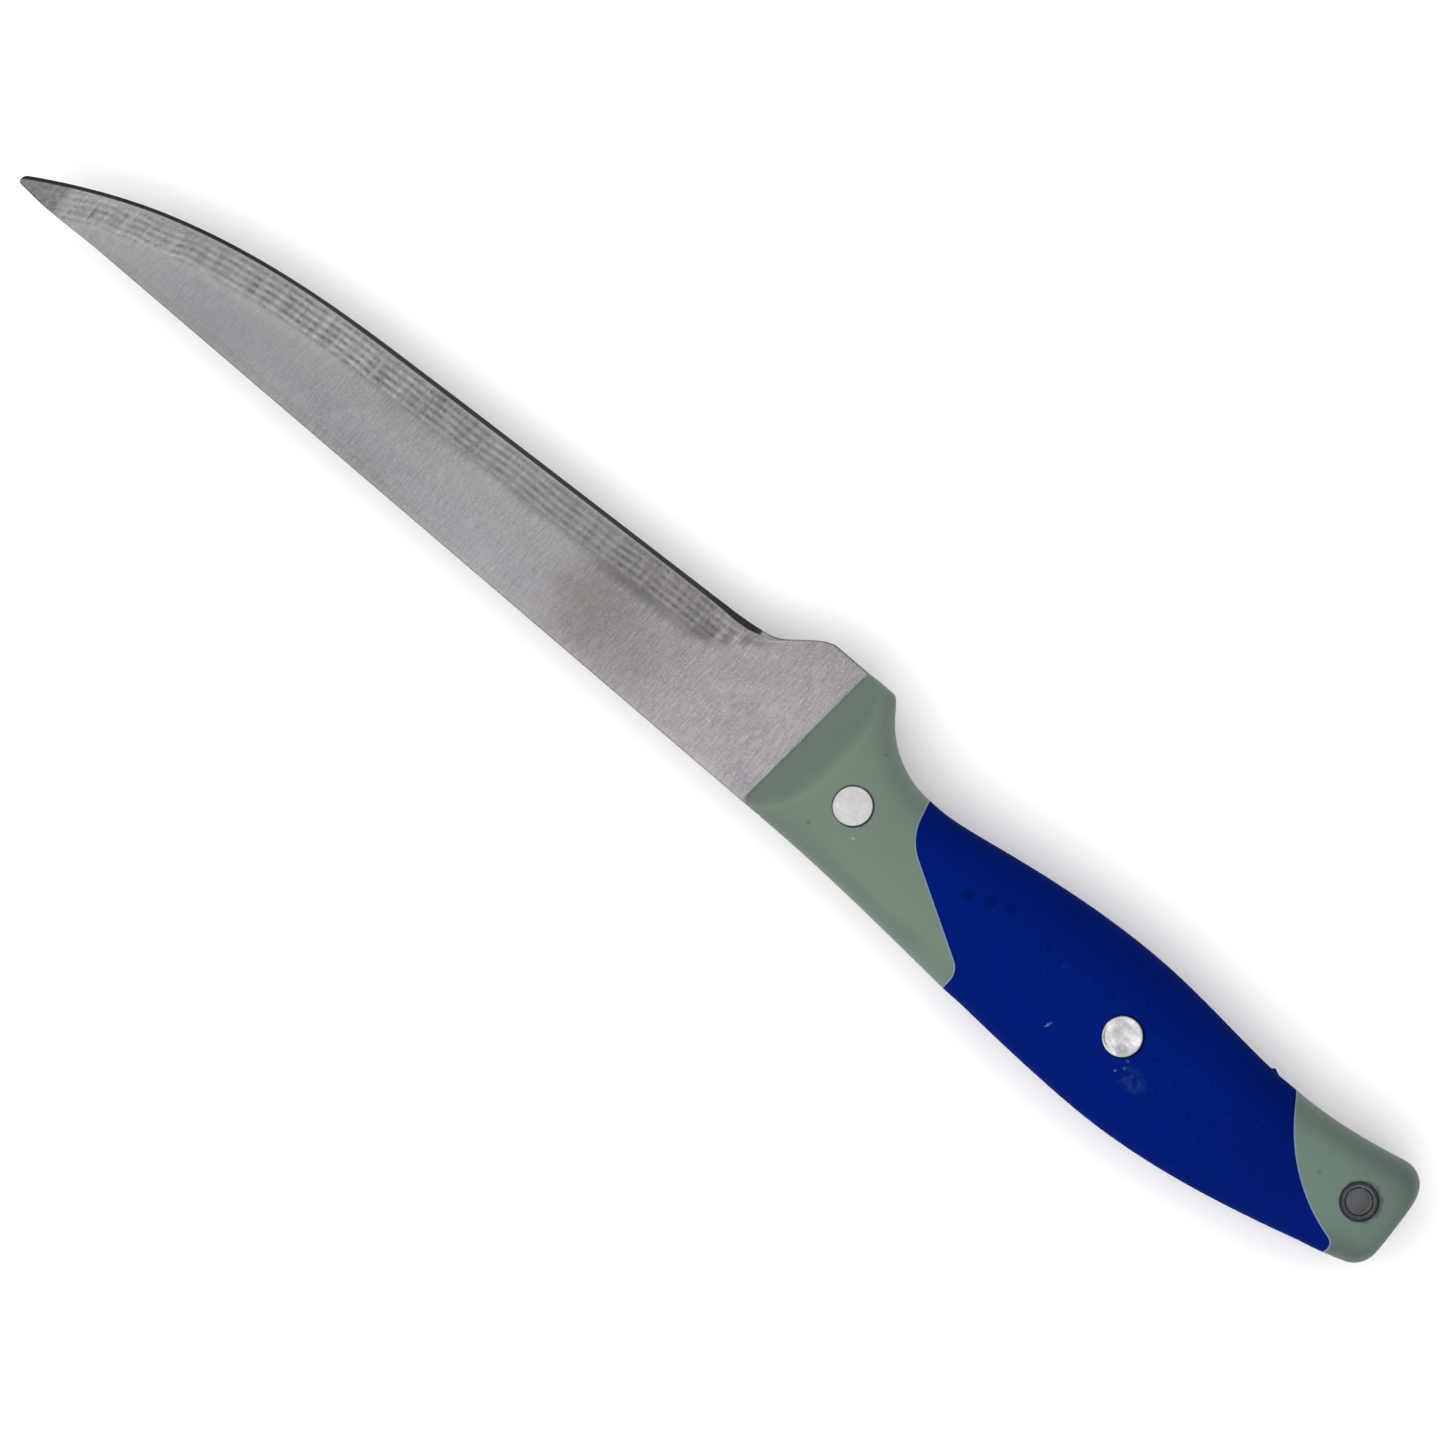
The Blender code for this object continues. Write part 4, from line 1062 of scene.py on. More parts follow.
def steel_finish(blade):
    """Ground stainless steel: brushed across, with grinding lines that are partly painted reflection, a
    dark edge and dark rims of painted shade, and marks of use.
    """
    finish = Finish("ground_steel", metallic=1.0)
    place = finish.attribute("blade_place", "Vector")
    ripple = finish.attribute("grinding")
    at, from_edge, from_spine = finish.split(place)

    def brushed(along, across, detail=3.0, roughness=0.6):
        return finish.noise(finish.stretched(place, (along, across, 0.0)), 1.0, detail, roughness)

    # Brushing and grain, with painted glints
    streak = brushed(2.6, 0.30)
    hair = brushed(6.0, 0.9, detail=2.0)
    cloud = brushed(0.08, 0.20, roughness=0.55)
    grain = brushed(2.4, 1.9, roughness=0.7)
    mottle = brushed(1.3, 1.0, detail=4.0, roughness=0.7)
    glint = finish.noise(finish.stretched(place, (3.4, 1.3, 0.0), (7.0, 3.0, 0.0)), 1.0, 1.0, 0.6)
    lively = 1.0 + 0.40 * at.fall(14.0, 40.0) - 0.40 * at.band(100.0, 138.0, 9.0)
    shade = 0.64 * (streak - 0.5) + 0.26 * (hair - 0.5) + 0.34 * (cloud - 0.5)
    shade = 1.02 + lively * (shade + 0.66 * (grain - 0.5) + 0.50 * glint.fade(0.65, 0.78))

    # Broad light and dark lengths of the flat
    low_heel = at.fall(7.0, 15.0) * from_edge.fall(4.0, 11.0)
    bright = from_spine.fall(4.6, 7.6) * at.fall(62.0, 80.0) * at.fade(4.0, 12.0)
    shade = shade + 0.11 * at.fall(6.0, 24.0) + 0.09 * at.band(53.0, 76.0, 9.0)
    shade = shade - 0.12 * at.band(24.0, 44.0, 7.0) - 0.10 * low_heel
    shade = shade + 0.08 * at.fade(122.0, 142.0) + 0.09 * bright

    # Ground band along the edge, with its ragged border and its ripples; the band's darkening is partly
    # painted shade, and the light and dark grinding lines are partly painted reflection
    ragged = from_edge + 1.8 * (streak - 0.5) + 2.4 * (cloud - 0.5)
    band = from_edge.fade(0.8, 1.3) * ragged.fall(6.0, 8.2) * at.fade(17.0, 24.0)
    band = band * (0.25 - 0.04 * at.fade(44.0, 62.0) - 0.14 * at.fade(78.0, 96.0))
    strength = 0.27 + 0.07 * at.fade(46.0, 60.0) + 0.20 * at.band(84.0, 118.0, 9.0)
    shade = shade * (1.0 - band) + ripple * strength
    shade = shade + 0.05 * at.band(0.6, 9.0, 3.0) * (streak - 0.3) + 0.05 * at.band(142.0, 150.0, 2.0)
    shade = shade * (1.0 - 0.30 * near(at, from_edge, (16.8, 1.8), (5.2, 1.9)))
    crest = (from_edge + 2.2 * (streak - 0.5)).band(6.6, 8.3, 0.7) * at.band(23.0, 45.0, 2.5)
    shade = shade * (1.0 - 0.25 * crest * (0.1 + 1.8 * streak))
    block = at.band(16.1, 17.5, 0.3) * from_edge.band(1.9, 4.2, 0.4)
    block = block.at_least(at.band(18.6, 20.2, 0.3) * from_edge.band(2.6, 5.6, 0.4))
    block = block.at_least(at.band(21.4, 25.0, 0.5) * from_edge.band(4.0, 7.2, 0.9))
    block = block * (0.55 + 0.9 * (hair - 0.3))

    # Line under the spine and smudge beside the heel
    spine_line = from_spine.band(1.45, 1.85, 0.25) * at.band(70.0, 124.0, 12.0)
    shade = shade - 0.09 * spine_line - 0.07 * from_spine.fall(1.2, 1.7) * at.fade(36.0, 60.0)
    smudge = near(at, from_spine, (40.5, 8.0), (9.5, 10.0))
    shade = shade * (1.0 - 0.30 * smudge * finish.noise(place, 0.5, 3.0, 0.6))

    # Rough last part, dull tip and nick
    tip = (at + 2.2 * (mottle - 0.5)).fade(150.4, 151.9)
    rough_end = at.fade(112.0, 140.0) * from_edge.fall(6.0, 9.0)
    shade = shade * (1.0 + 0.95 * rough_end * (mottle - 0.5))
    shade = shade * (1.0 - tip * (0.34 + 1.6 * (mottle - 0.5)))
    shade = shade * (1.0 - 0.42 * near(at, from_edge, (145.8, 4.2), (0.40, 2.1)))

    # Tints
    violet = from_spine.fade(1.6, 2.8) * (from_spine - 0.018 * at).fall(4.6, 6.6)
    violet = violet * (1.0 - 0.40 * at.fade(40.0, 70.0)) * (1.0 - 0.8 * at.fade(124.0, 142.0))
    rosy = near(at, from_spine, (1.5, 7.4), (4.5, 2.8)) * streak.fade(0.35, 0.60)
    straw = (from_edge + 0.8 * at.fade(116.0, 132.0)).band(6.5, 8.0, 0.9) * at.band(94.0, 148.0, 10.0)
    colour = finish.mix(violet, blade.steel, VIOLET_STEEL)
    colour = finish.mix(rosy * 0.40, colour, ROSY_STEEL)
    colour = finish.mix((smudge * 0.55).at_least(low_heel * 0.35), colour, WARM_STEEL)
    colour = finish.mix(0.30 * at.fall(36.0, 62.0), colour, ROSY_STEEL)
    colour = finish.lit(colour, 1.0 + straw * (0.12 + 0.10 * at.fade(112.0, 126.0)))
    colour = finish.mix(straw * 0.55, colour, STRAW_STEEL)
    colour = finish.mix(block * 0.8, colour, BURNT_STEEL)
    colour = finish.mix(tip * 0.6, colour, DULL_STEEL)
    colour = finish.lit(colour, shade)

    # Painted shade: dark rims along the edge, the spine and the handle's front face, and the dark
    # sharpened strip
    rim = (from_edge.fall(0.10, 0.42) * 0.55).at_least(from_spine.fall(0.10, 0.34) * 0.55)
    rim = rim.at_least((at + math.tan(FRONT_LEAN) * from_spine).fall(0.02, 0.22) * 0.30)
    width = 0.95 - 0.14 * at.fade(22.0, 40.0) - 0.09 * at.fade(94.0, 110.0) + 0.04 * at.fade(134.0, 148.0)
    width = width + 0.28 * at.fall(19.5, 25.0) * at.fade(15.6, 18.2)
    strip = (from_edge - width).fall(-0.16, 0.10) * at.fade(15.4, 16.0)
    bevel = finish.mix(at.fade(15.6, 17.4), SHADED_RIM_STEEL, blade.bevel)
    bevel = finish.lit(bevel, 1.0 + 0.45 * at.band(26.0, 114.0, 6.0))
    colour = finish.mix(rim, colour, SHADED_RIM_STEEL)
    finish.set(
        base_color=finish.mix(strip, colour, bevel),
        roughness=0.36 + 0.10 * (streak - 0.5) + 0.10 * tip,
        normal=finish.bump(0.6 * streak + 0.25 * hair + 0.15 * grain, 0.000008),
    )
    return finish.material


def green_finish(handle):
    """Hard grey-green moulding with a fine matt grain."""
    finish = Finish("hard_moulding", metallic=0.0, specular=0.25)
    place = finish.place()
    x, y, z = finish.split(place)
    shown = z.fade(0.0, 1.0)
    grain = finish.noise(place, 4.5, 3.0, 0.6)
    mottle = finish.noise(place, 1.3, 3.0, 0.55)
    cloud = finish.noise(place, 0.09, 2.0, 0.5)
    pit = finish.cells(place, 0.34).fall(0.02, 0.06)
    shade = 1.0 + 0.10 * (mottle - 0.5) + 0.16 * (cloud - 0.5) - 0.14 * pit

    # Painted shade on the facets up to their borders and a painted highlight just behind them, dark
    # specks, and painted shade round the rivet and the tube
    facet_gap = finish.attribute("facet_gap")
    shade = shade - 0.07 * facet_gap.fall(0.05, 0.35) + 0.05 * facet_gap.band(0.30, 0.90, 0.20)
    # dark specks, and painted light that makes the facets by the blade lighter
    shade = shade * (1.0 - 0.32 * spots(x, y, GREEN_SPECKS) * shown) * (1.0 + 0.05 * x.fade(-8.0, -3.0))
    front_ring = around(x, y, FRONT_RIVET_BEHIND, RIVET_DEPTH, 0.10)
    tube_ring = around(x, y, HANDLE_LENGTH - TUBE_FROM_BUTT, TUBE_DEPTH, 0.25) + 1.5 * (mottle - 0.5)
    shade = shade * (1.0 - 0.30 * front_ring.fall(3.46, 3.74))
    shade = shade * (1.0 - 0.46 * tube_ring.fall(3.20, 3.90))

    # Painted shade: darker sides, back edge and butt, where the light falls off
    sides = finish.attribute("fullness").fall(0.74, 1.0)
    shade = shade * (1.0 - sides * (0.09 + 0.12 * x.fall(-110.0, -60.0)))
    shade = shade * (1.0 - 0.22 * x.fall(-130.5, -116.5))
    shade = shade * (1.0 - 0.14 * x.fall(-122.0, -108.0) * y.fade(-13.0, -7.0))
    shade = shade * (1.0 - 0.06 * y.fade(-3.0, -1.0) * x.fade(-40.0, -34.0))
    colour = finish.lit(finish.mix(x.fall(-118.0, -96.0), handle.green, SHADED_BUTT_GREEN), shade)

    # Pale fleck and the thin line of the seam
    colour = finish.mix(spots(x, y, GREEN_FLECK) * shown, colour, PALE_GREEN)
    colour = finish.mix(finish.attribute("seam_nearness").fade(0.64, 0.90) * 0.70, colour, SEAM_BLUE)
    finish.set(
        base_color=colour,
        roughness=handle.roughness + 0.14 * (mottle - 0.5),
        normal=finish.bump(0.7 * grain + 0.3 * mottle, 0.00002),
    )
    return finish.material


def blue_finish(grip):
    """Soft blue moulding, very matt, with painted shade on the flanks of its dots and a painted highlight
    on their tops.
    """
    finish = Finish("soft_moulding", metallic=0.0, specular=0.006)
    place = finish.place()
    x, y, z = finish.split(place)
    shown = z.fade(0.0, 1.0)
    grain = finish.noise(place, 3.5, 3.0, 0.6)
    mottle = finish.noise(place, 0.8, 3.0, 0.6)
    cloud = finish.noise(place, 0.10, 2.0, 0.5)
    patchy = finish.noise(place, 0.55, 2.0, 0.5)
    shade = 1.0 + 0.12 * (mottle - 0.5) + 0.14 * (cloud - 0.5)

    # Painted shade on the flanks of the dots and a painted highlight on their tops, darker and brighter
    # dots, painted shade round the rivet, and painted shade on the belly, the back and the rear end
    dot = finish.attribute("dot")
    shade = shade - 0.26 * dot.band(0.05, 0.50, 0.14) * patchy.fade(0.30, 0.70)
    shade = shade + 0.10 * dot.fade(0.35, 0.95) * patchy.fall(0.35, 0.75)
    shade = shade * (1.0 - spots(x, y, DARKER_DOTS)) * (1.0 + spots(x, y, BRIGHT_DOT))
    ring = around(x, y, rivet_places()["middle_rivet"], RIVET_DEPTH, 0.14)
    shade = shade * (1.0 - 0.75 * ring.fall(3.46, 3.86))
    shade = shade * (1.0 - 0.18 * y.fall(-21.0, -12.0)) * (1.0 - 0.07 * y.fade(-3.5, -1.0))
    shade = shade * (1.0 - 0.12 * x.fall(-106.0, -86.0))
    colour = finish.lit(grip.blue, shade)

    # Smear, scratch and specks beside the rivet
    smear = spots(x, y, SMEAR) * mottle.fade(0.36, 0.62) * shown
    scratch = spots(x - 0.35 * y, y, SCRATCH).at_least(spots(x, y, PALE_SPECKS))
    colour = finish.mix(smear, colour, SMEARED_BLUE)
    colour = finish.mix(scratch * grain.fade(0.35, 0.60) * shown, colour, SCRATCHED_BLUE)
    finish.set(
        base_color=colour,
        roughness=grip.roughness + 0.12 * (mottle - 0.5),
        normal=finish.bump(0.7 * grain + 0.3 * mottle, 0.00002),
    )
    return finish.material


def rivet_finish(rivets):
    """Peened aluminium, mottled by the hammering, with painted highlights and painted shade."""
    finish = Finish("peened_aluminium", metallic=1.0)
    place = finish.place()
    x, y, _ = finish.split(place)
    dents = finish.noise(place, 1.1, 3.0, 0.6)
    specks = finish.noise(place, 4.0, 2.0, 0.6)
    swirl = finish.noise(finish.stretched(place, (0.50, 0.85, 0.2)), 1.0, 3.0, 0.5)
    middle = x.fall(-60.0, -50.0)
    shade = 1.0 + 0.30 * (dents - 0.5) + 0.24 * (specks - 0.5)
    # swirls on the middle rivet, partly painted highlights
    shade = shade + middle * (0.04 + 1.1 * (swirl - 0.5))

    # Marks on the middle rivet alone, placed from its axis: painted shade in a groove, a dull patch, and
    # painted highlights and glints
    behind = rivet_places()["middle_rivet"]
    right, up = x + behind * MM, y + RIVET_DEPTH * MM
    groove_shade = around(x, y, behind, RIVET_DEPTH, 0.0).band(2.85, 3.10, 0.12)
    groove_shade = groove_shade * spots(right, up, RIVET_GROOVE_SHADE)
    dull = spots(right, up, RIVET_DULL) * swirl.fade(0.36, 0.52)
    flash = middle * specks.fade(0.60, 0.68) * swirl.fade(0.42, 0.58)
    shade = shade * (1.0 - groove_shade) * (1.0 - dull) * (1.0 + spots(right, up, RIVET_HIGHLIGHTS) + 0.30 * flash)
    finish.set(
        base_color=finish.lit(rivets.metal, shade),
        roughness=0.38 + 0.2 * (specks - 0.5),
        normal=finish.bump(0.8 * dents + 0.2 * specks, 0.00003),
    )
    return finish.material


def tube_finish(tube):
    """Drawn tube, bright in the bore and dark on its flared ends, where the dark is painted shade."""
    finish = Finish("drawn_tube", metallic=1.0)
    place = finish.place()
    x, y, z = finish.split(place)
    drawn = finish.noise(finish.stretched(place, (1.0, 1.0, 0.2)), 2.2, 3.0, 0.6)
    blotch = finish.noise(place, 0.9, 3.0, 0.6)
    speck = finish.noise(place, 2.6, 1.0, 0.5).fade(0.70, 0.76)
    behind = HANDLE_LENGTH - TUBE_FROM_BUTT
    flared = (side_height(behind, TUBE_DEPTH) - TUBE_FLARE_DEPTH) * MM
    # painted shade on the flared ends, lighter towards the bore
    lip = abs(z).fade(flared - 0.55, flared - 0.25)
    away = around(x, y, behind, TUBE_DEPTH, 0.0) + 1.2 * (blotch - 0.5)
    lip_shade = finish.mix(0.3 + 0.7 * away.fade(2.2, 3.0), LIGHTER_LIP_SHADE, tube.lip)
    colour = finish.mix(lip, tube.metal, lip_shade)
    colour = finish.mix(lip * speck * 0.35, colour, tube.metal)
    finish.set(
        base_color=finish.lit(colour, 1.0 + 0.4 * (drawn - 0.5)),
        roughness=0.14 + 0.24 * lip,
        normal=finish.bump(drawn, 0.00001),
    )
    return finish.material


def floor_finish(stage):
    """Plain pale floor."""
    finish = Finish("pale_floor", metallic=0.0, specular=0.1)
    paper = finish.noise(finish.coordinates("Object"), 90.0, 3.0, 0.6)
    finish.set(base_color=finish.lit(stage.floor, 1.0 + 0.01 * (paper - 0.5)), roughness=0.9)
    return finish.material


def dot_places():
    """Places of the raised dots on the grip."""
    rivet = Vector((-rivet_places()["middle_rivet"], -RIVET_DEPTH))
    places = []
    for fan in (FRONT_FAN, REAR_FAN):
        ahead = math.copysign(1.0, fan["pitch"])
        for column in range(-DOT_COLUMNS, DOT_COLUMNS):
            along = max(column, 0)
            late = max(column - FAN_STRETCH_START, 0)
            room = fan["first_rows"] if column < 1 else fan["rows"] * (1 + FAN_STRETCH * late)
            top = DOT_TOP_DEPTH + fan["droop"] * along ** 2
            across = fan["start"] + fan["pitch"] * (column + FAN_STRETCH * late ** 2)
            for row in range(DOT_ROWS):
                x = across + fan["lean"] * (1 + FAN_STRETCH * late) * row
                depth = top + room * row
                lowest = DOT_LOWEST_DEPTH - DOT_LOWEST_BEND * max(x - DOT_BEND_START, 0.0) ** 2
                dot = Vector((x, -min(depth, lowest)))
                in_fan = 0 <= (x - FAN_BORDER) * ahead and (x - fan["end"]) * ahead <= 0
                if in_fan and depth - lowest < room / 2 and (dot - rivet).length > DOT_RIVET_ROOM:
                    places.append(dot)
    return places


def dot_heights(points, grip):
    """How far each point of the grip is raised by a dot."""
    height = np.zeros(points.shape[:2])
    for x, y in dot_places():
        away = np.hypot(points[..., 0] - x, points[..., 1] - y) / (grip.dot_width / 2)
        height = np.maximum(height, grip.dot_height * (1 - np.minimum(away, 1.0) ** 2))
    return height


def nib_heights(points):
    """How far each point of the grip is raised by the nib on its belly."""
    along = (points[..., 0] + NIB_BEHIND) / (NIB_LENGTH / 2)
    aside = points[..., 2] / (NIB_LENGTH / 2)
    away = np.minimum(np.hypot(along, aside), 1.0)
    return np.where(points[..., 1] < -NECK_DEPTH / 2, NIB_HEIGHT * (1 - away), 0.0)


def rivet_places():
    """How far behind the datum each rivet lies."""
    return {"front_rivet": FRONT_RIVET_BEHIND, "middle_rivet": TANG_LENGTH - MIDDLE_RIVET_FROM_TANG_END}


class KNIFE_OT_blade(bpy.types.Operator):
    """Adds the ground blade with its tang"""

    bl_idname = "knife.blade"
    bl_label = "Blade"
    bl_options = {"REGISTER", "UNDO"}

    def execute(self, context):
        blade = context.scene.knife_blade
        points, places, ripple = blade_sheet(blade)
        piece, row, column = sheet("ground_blade", points)
        keep(piece, "blade_place", places[row, column])
        keep(piece, "grinding", ripple[row, column])
        apply(piece, "MIRROR", use_axis=(False, False, True), merge_threshold=MERGE)
        close_up(piece)
        for behind in rivet_places().values():
            drill(piece, behind, RIVET_DEPTH, context.scene.knife_rivets.diameter)
        settle(piece, "blade", steel_finish(blade))
        return {"FINISHED"}


class KNIFE_OT_handle(bpy.types.Operator):
    """Adds the hard moulding: bolster, guard, butt and the waist under the grip"""

    bl_idname = "knife.handle"
    bl_label = "Hard moulding"
    bl_options = {"REGISTER", "UNDO"}

    def execute(self, context):
        handle = context.scene.knife_handle
        waist = SLEEVE_WALL + SEAM_GAP
        lip = np.linspace(0.0, LIP_SHARE, LIP_ROWS)[:-1]
        nose = np.concatenate((lip, np.linspace(LIP_SHARE, 1 - NOSE_END_SHARE, NOSE_ROWS)))
        butt = np.concatenate(([BUTT_START_SHARE], crowding(BUTT_NEXT_SHARE, 1.0, BUTT_ROWS)))
        rows = [
            handle_rows(front_face, front_seam, nose, 0.0),
            handle_rows(front_face, front_seam, [1.0], SEAM_EASE),
            handle_rows(front_face, front_seam, [1.0], waist),
            handle_rows(front_seam, rear_seam, np.linspace(0.0, 1.0, WAIST_ROWS)[1:-1], waist),
            handle_rows(front_seam, rear_seam, [1.0], waist),
            handle_rows(front_seam, rear_seam, [1.0], SEAM_EASE),
            handle_rows(rear_seam, butt_face, butt, 0.0),
        ]
        last = rows[-1][-1:]
        centre = last.mean(axis=1, keepdims=True)
        rows += [between(last, centre, share) for share in steps(0.0, 1.0, 1 / END_RINGS)[1:]]
        points = np.concatenate(rows, 0)
        piece, row, column = sheet("moulded_handle", points)
        facet_gap = facet_height(-points[..., 0], points[..., 1]) - np.abs(points[..., 2])
        seam_gap = np.minimum(seam_distance(points, front_seam), seam_distance(points, rear_seam))
        fullness = np.abs(points[..., 2]) / full_half(-points[..., 0])
        keep(piece, "facet_gap", facet_gap[row, column] * MM)
        keep(piece, "fullness", fullness[row, column])
        keep(piece, "seam_nearness", np.maximum(1.0 - seam_gap[row, column], 0.0))
        close_up(piece)
        cut(piece, tang_slot())
        for behind in rivet_places().values():
            drill(piece, behind, RIVET_DEPTH, context.scene.knife_rivets.diameter)
        drill(piece, HANDLE_LENGTH - TUBE_FROM_BUTT, TUBE_DEPTH, context.scene.knife_tube.diameter)
        settle(piece, "handle_core", green_finish(handle))
        return {"FINISHED"}


def tang_slot():
    """The cutter for the slot of the blade's root and tang, open at the back and the guard."""
    half = BLADE_THICKNESS / 2 + TANG_FIT
    spans = [(BEYOND, BEYOND, -HEEL_DEPTH - BEYOND), (-ROOT_LENGTH, BEYOND, -HEEL_DEPTH - BEYOND)]
    for at in tang_stations():
        upper, lower = blade_outline(at)
        spans.append((at - TANG_FIT, float(upper) + TANG_FIT, float(lower) - TANG_FIT))
    rows = [
        [(x, low, half), (x, high, half), (x, high, -half), (x, low, -half), (x, low, half)]
        for x, high, low in spans
    ]
    cutter, _, _ = sheet("tang_slot", np.array(rows))
    close_up(cutter)
    return cutter


class KNIFE_OT_grip(bpy.types.Operator):
    """Adds the soft grip with its raised dots"""

    bl_idname = "knife.grip"
    bl_label = "Soft grip"
    bl_options = {"REGISTER", "UNDO"}

    def execute(self, context):
        grip = context.scene.knife_grip

        def front(height):
            return front_seam(height) + SEAM_GAP

        def rear(height):
            return rear_seam(height) - SEAM_GAP

        shares = np.linspace(SLEEVE_END_SHARE, 1 - SLEEVE_END_SHARE, SLEEVE_ROWS)
        plain = handle_rows(front, rear, shares, 0.0)
        sunk = grip.dot_height * eased(shares / SINK_SHARE) * eased((1 - shares) / SINK_SHARE)
        dots = dot_heights(plain, grip)
        raised = dots + nib_heights(plain) - sunk[:, None]
        inner = np.linspace(1.0, 0.0, WAIST_ROWS)
        rows = [
            handle_rows(front, rear, [0.0], SEAM_EASE),
            handle_rows(front, rear, shares, -raised),
            handle_rows(front, rear, [1.0], SEAM_EASE),
            handle_rows(front, rear, inner, SLEEVE_WALL),
            handle_rows(front, rear, [0.0], SEAM_EASE),
        ]
        piece, row, column = sheet("moulded_grip", np.concatenate(rows, 0))
        shown = np.pad(dots, ((1, len(inner) + 2), (0, 0))) / max(grip.dot_height, MERGE)
        keep(piece, "dot", shown[row, column])
        close_up(piece)
        drill(piece, rivet_places()["middle_rivet"], RIVET_DEPTH, context.scene.knife_rivets.diameter)
        settle(piece, "grip_sleeve", blue_finish(grip))
        return {"FINISHED"}


class KNIFE_OT_rivets(bpy.types.Operator):
    """Adds the two peened rivets"""

    bl_idname = "knife.rivets"
    bl_label = "Rivets"
    bl_options = {"REGISTER", "UNDO"}

    def execute(self, context):
        rivets = context.scene.knife_rivets
        material = rivet_finish(rivets)
        radius = rivets.diameter / 2
        for seed, (node, behind) in enumerate(rivet_places().items(), FIRST_DENT_SEED):
            top = side_height(behind, RIVET_DEPTH)
            piece = rod(behind, RIVET_DEPTH, radius, 2 * top)
            piece.name = node.replace("rivet", "peened_rivet")
            bpy.ops.object.mode_set(mode="EDIT")
            bpy.ops.mesh.select_mode(type="FACE")
            pick("faces", lambda face: abs(face.normal.z) > FACING)
            for _ in range(HEAD_RINGS):
                bpy.ops.mesh.inset(thickness=radius / (HEAD_RINGS + 1), depth=0.0, use_individual=True)
            bpy.ops.object.mode_set(mode="OBJECT")
            peen(piece, radius, top, rivets.crown, seed)
            settle(piece, node, material)
        return {"FINISHED"}


def peen(piece, radius, top, crown, seed):
    """Rounds both heads of a rivet to a low crown, with the marks of the hammer."""
    flat = np.empty(len(piece.data.vertices) * 3)
    piece.data.vertices.foreach_get("co", flat)
    points = flat.reshape(-1, 3)
    away = np.hypot(points[:, 0], points[:, 1]) / radius
    side = np.sign(points[:, 2])
    x, y = (points[:, i] / DENT_WIDTH + DENT_SHIFT for i in (0, 1))
    dent = unevenness(x, y + DENT_SIDE_SHIFT * side, seed)
    height = top - crown * away ** 2 - HEAD_EDGE * eased((away - 1) / HEAD_EDGE_SHARE + 1)
    height = height - DENT_DEPTH * (1 + dent) * eased((1 - away) / DENT_FADE_SHARE)
    points[:, 2] = side * height
    piece.data.vertices.foreach_set("co", points.ravel())
    piece.data.update()


class KNIFE_OT_tube(bpy.types.Operator):
    """Adds the metal tube that lines the lanyard hole"""

    bl_idname = "knife.tube"
    bl_label = "Lanyard tube"
    bl_options = {"REGISTER", "UNDO"}

    def execute(self, context):
        tube = context.scene.knife_tube
        behind = HANDLE_LENGTH - TUBE_FROM_BUTT
        top = side_height(behind, TUBE_DEPTH)
        waist = top - TUBE_FLARE_DEPTH
        outer, mouth, bore = tube.diameter / 2, tube.mouth / 2, tube.bore / 2
        profile = []
        for ring in range(1, FLARE_RINGS + 1):
            turn = math.pi / 2 * ring / FLARE_RINGS
            height = waist + TUBE_FLARE_DEPTH * math.sin(turn)
            profile.append((between(mouth, bore, math.cos(turn)), height))
        profile += [(outer - TUBE_EDGE, top), (outer, top - TUBE_EDGE), (outer, 0.0)]
        piece = rod(behind, TUBE_DEPTH, bore, waist, waist / 2, "NOTHING")
        piece.name = "turned_tube"
        bpy.ops.object.transform_apply(location=True, rotation=True, scale=True)
        bpy.ops.object.mode_set(mode="EDIT")
        bpy.ops.mesh.select_mode(type="EDGE")
        pick("edges", lambda edge: all(vert.co.z > waist - MERGE for vert in edge.verts))
        draw_out(bore, waist, profile, Vector((-behind, -TUBE_DEPTH, 0.0)))
        bpy.ops.object.mode_set(mode="OBJECT")
        apply(piece, "MIRROR", use_axis=(False, False, True), merge_threshold=MERGE)
        close_up(piece)
        settle(piece, "lanyard_tube", tube_finish(tube))
        return {"FINISHED"}


def draw_out(radius, height, profile, centre):
    """Extrudes the selected ring through the radii and heights of a profile."""
    for next_radius, next_height in profile:
        bpy.ops.mesh.extrude_edges_move(
            TRANSFORM_OT_translate={"value": (0.0, 0.0, next_height - height)},
        )
        growth = next_radius / radius
        bpy.ops.transform.resize(value=(growth, growth, 1.0), center_override=centre)
        radius, height = next_radius, next_height


def dome(stage):
    """A soft dome of studio light, brightest high up and dimmed around the camera."""
    world = bpy.data.worlds.new("soft_dome")
    nodes = Nodes(world)
    x, y, z = nodes.split(nodes.coordinates("Generated"))
    light = stage.horizon + (stage.overhead - stage.horizon) * z.at_least(0.0)
    light = light * (1.0 + stage.lean * y) * (1.0 - stage.dimming * z.fade(0.80, 0.95))
    background = nodes.tree.nodes["Background"]
    background.inputs["Color"].default_value = (1.0, 1.0, 1.0, 1.0)
    nodes.feed(background.inputs["Strength"], light)
    return world


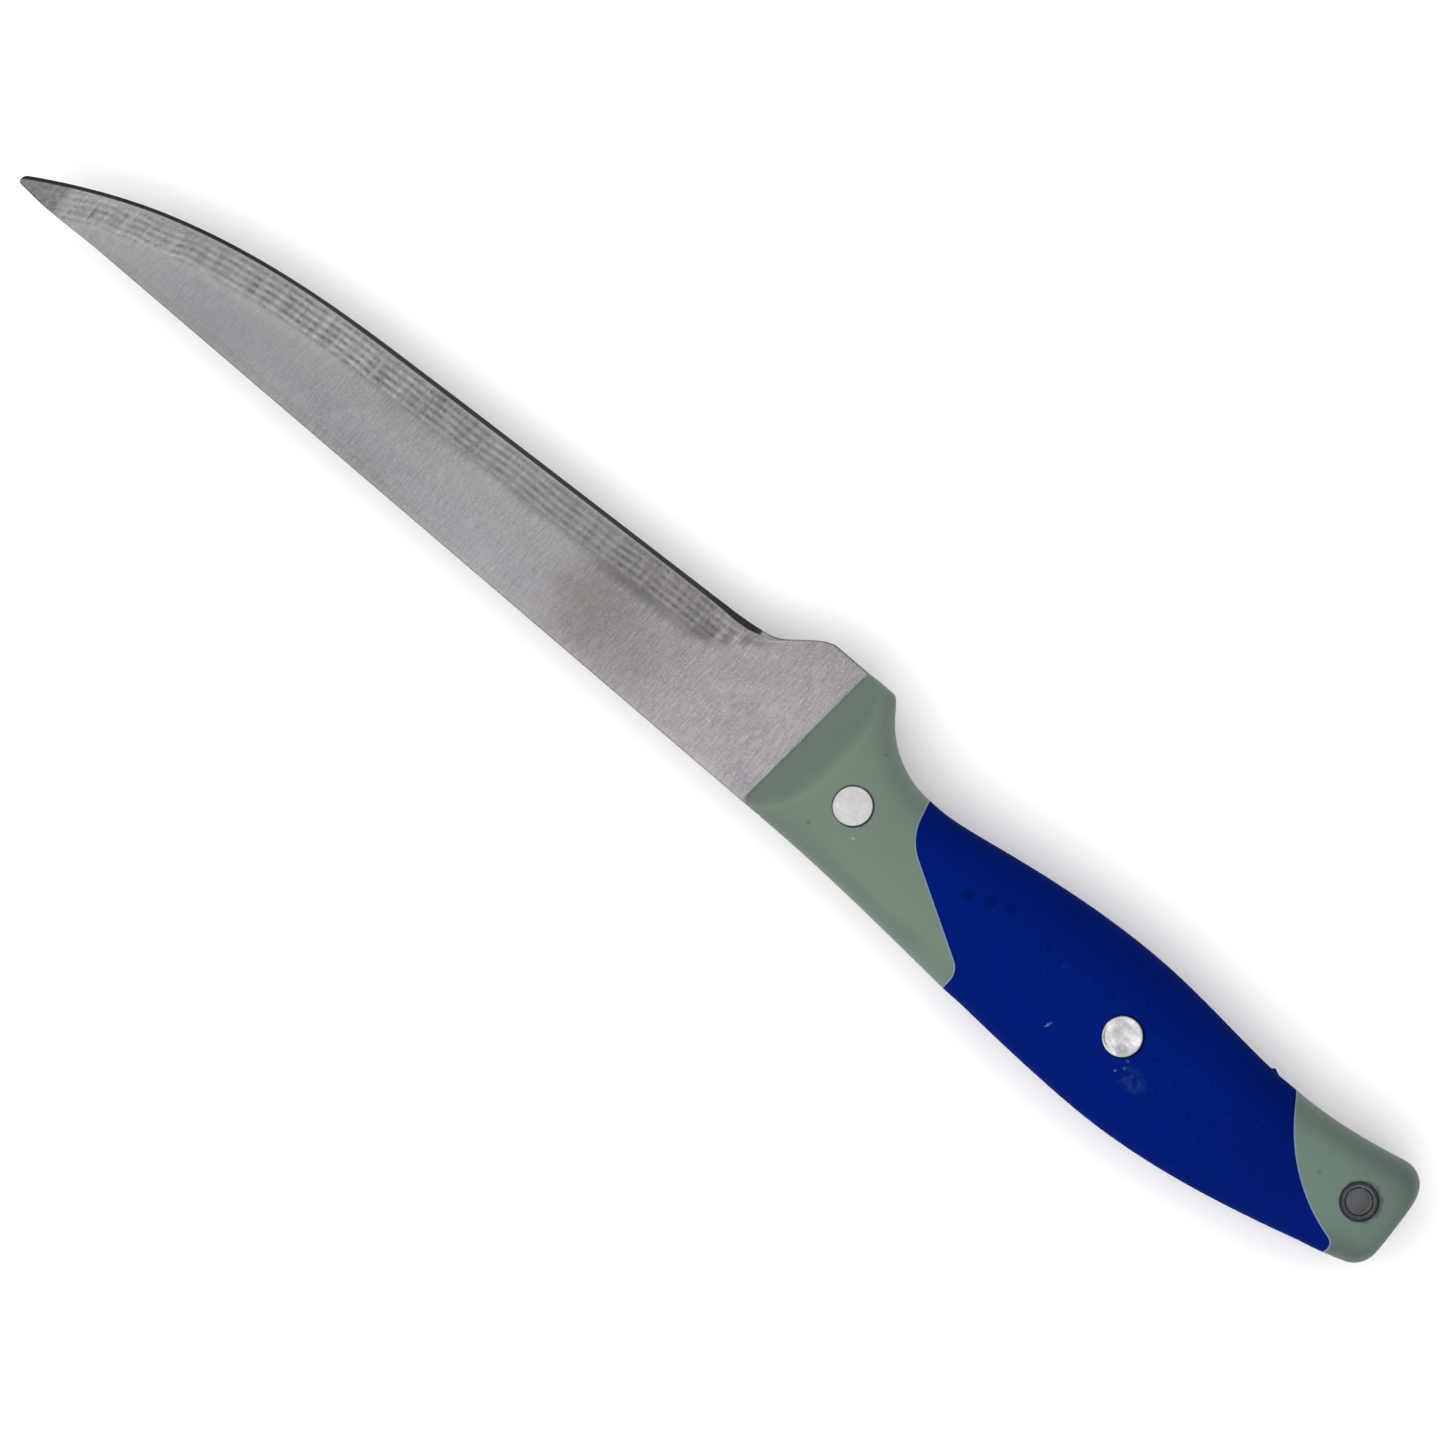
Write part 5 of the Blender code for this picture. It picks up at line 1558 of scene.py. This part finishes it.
class KNIFE_OT_stage(bpy.types.Operator):
    """Adds the floor, the soft light and the camera"""

    bl_idname = "knife.stage"
    bl_label = "Stage"
    bl_options = {"REGISTER", "UNDO"}

    def execute(self, context):
        stage = context.scene.knife_stage
        deselect()
        bpy.ops.mesh.primitive_plane_add(size=FLOOR_SIZE, location=(0.0, 0.0, 0.0))
        floor = bpy.context.object
        floor.name = "floor"
        floor.data.materials.append(floor_finish(stage))
        context.scene.world = dome(stage)
        lens = bpy.data.cameras.new("camera")
        lens.sensor_width = SENSOR_WIDTH
        lens.lens = SENSOR_WIDTH * stage.camera_distance / stage.view_width
        camera = bpy.data.objects.new("camera", lens)
        camera.location = (CAMERA_X, CAMERA_Y, DATUM.z + stage.camera_distance)
        camera.rotation_euler = (0.0, 0.0, CAMERA_TURN)
        context.collection.objects.link(camera)
        context.scene.camera = camera
        context.scene.view_settings.view_transform = "Standard"
        return {"FINISHED"}


class KNIFE_PT_panel(bpy.types.Panel):
    """Lists the knife's settings and pieces"""

    bl_idname = "KNIFE_PT_panel"
    bl_label = "Sticking knife"
    bl_space_type = "VIEW_3D"
    bl_region_type = "UI"
    bl_category = "Knife"

    def draw(self, context):
        for name, group, operator in PIECES:
            box = self.layout.box()
            for setting in group.__annotations__:
                box.prop(getattr(context.scene, name), setting)
            box.operator(operator.bl_idname)


PIECES = [
    ("knife_blade", BladeSettings, KNIFE_OT_blade),
    ("knife_handle", HandleSettings, KNIFE_OT_handle),
    ("knife_grip", GripSettings, KNIFE_OT_grip),
    ("knife_rivets", RivetSettings, KNIFE_OT_rivets),
    ("knife_tube", TubeSettings, KNIFE_OT_tube),
    ("knife_stage", StageSettings, KNIFE_OT_stage),
]


def register():
    """Makes the settings, the operators and the panel known to Blender."""
    for name, group, operator in PIECES:
        bpy.utils.register_class(group)
        setattr(bpy.types.Scene, name, PointerProperty(type=group))
        bpy.utils.register_class(operator)
    bpy.utils.register_class(KNIFE_PT_panel)


def unregister():
    """Takes them away again."""
    bpy.utils.unregister_class(KNIFE_PT_panel)
    for name, group, operator in reversed(PIECES):
        bpy.utils.unregister_class(operator)
        delattr(bpy.types.Scene, name)
        bpy.utils.unregister_class(group)


def main():
    """Adds every piece."""
    register()
    bpy.ops.knife.stage()
    bpy.ops.knife.blade()
    bpy.ops.knife.handle()
    bpy.ops.knife.grip()
    bpy.ops.knife.rivets()
    bpy.ops.knife.tube()
    bpy.context.view_layer.update()


if __name__ == "__main__":
    main()
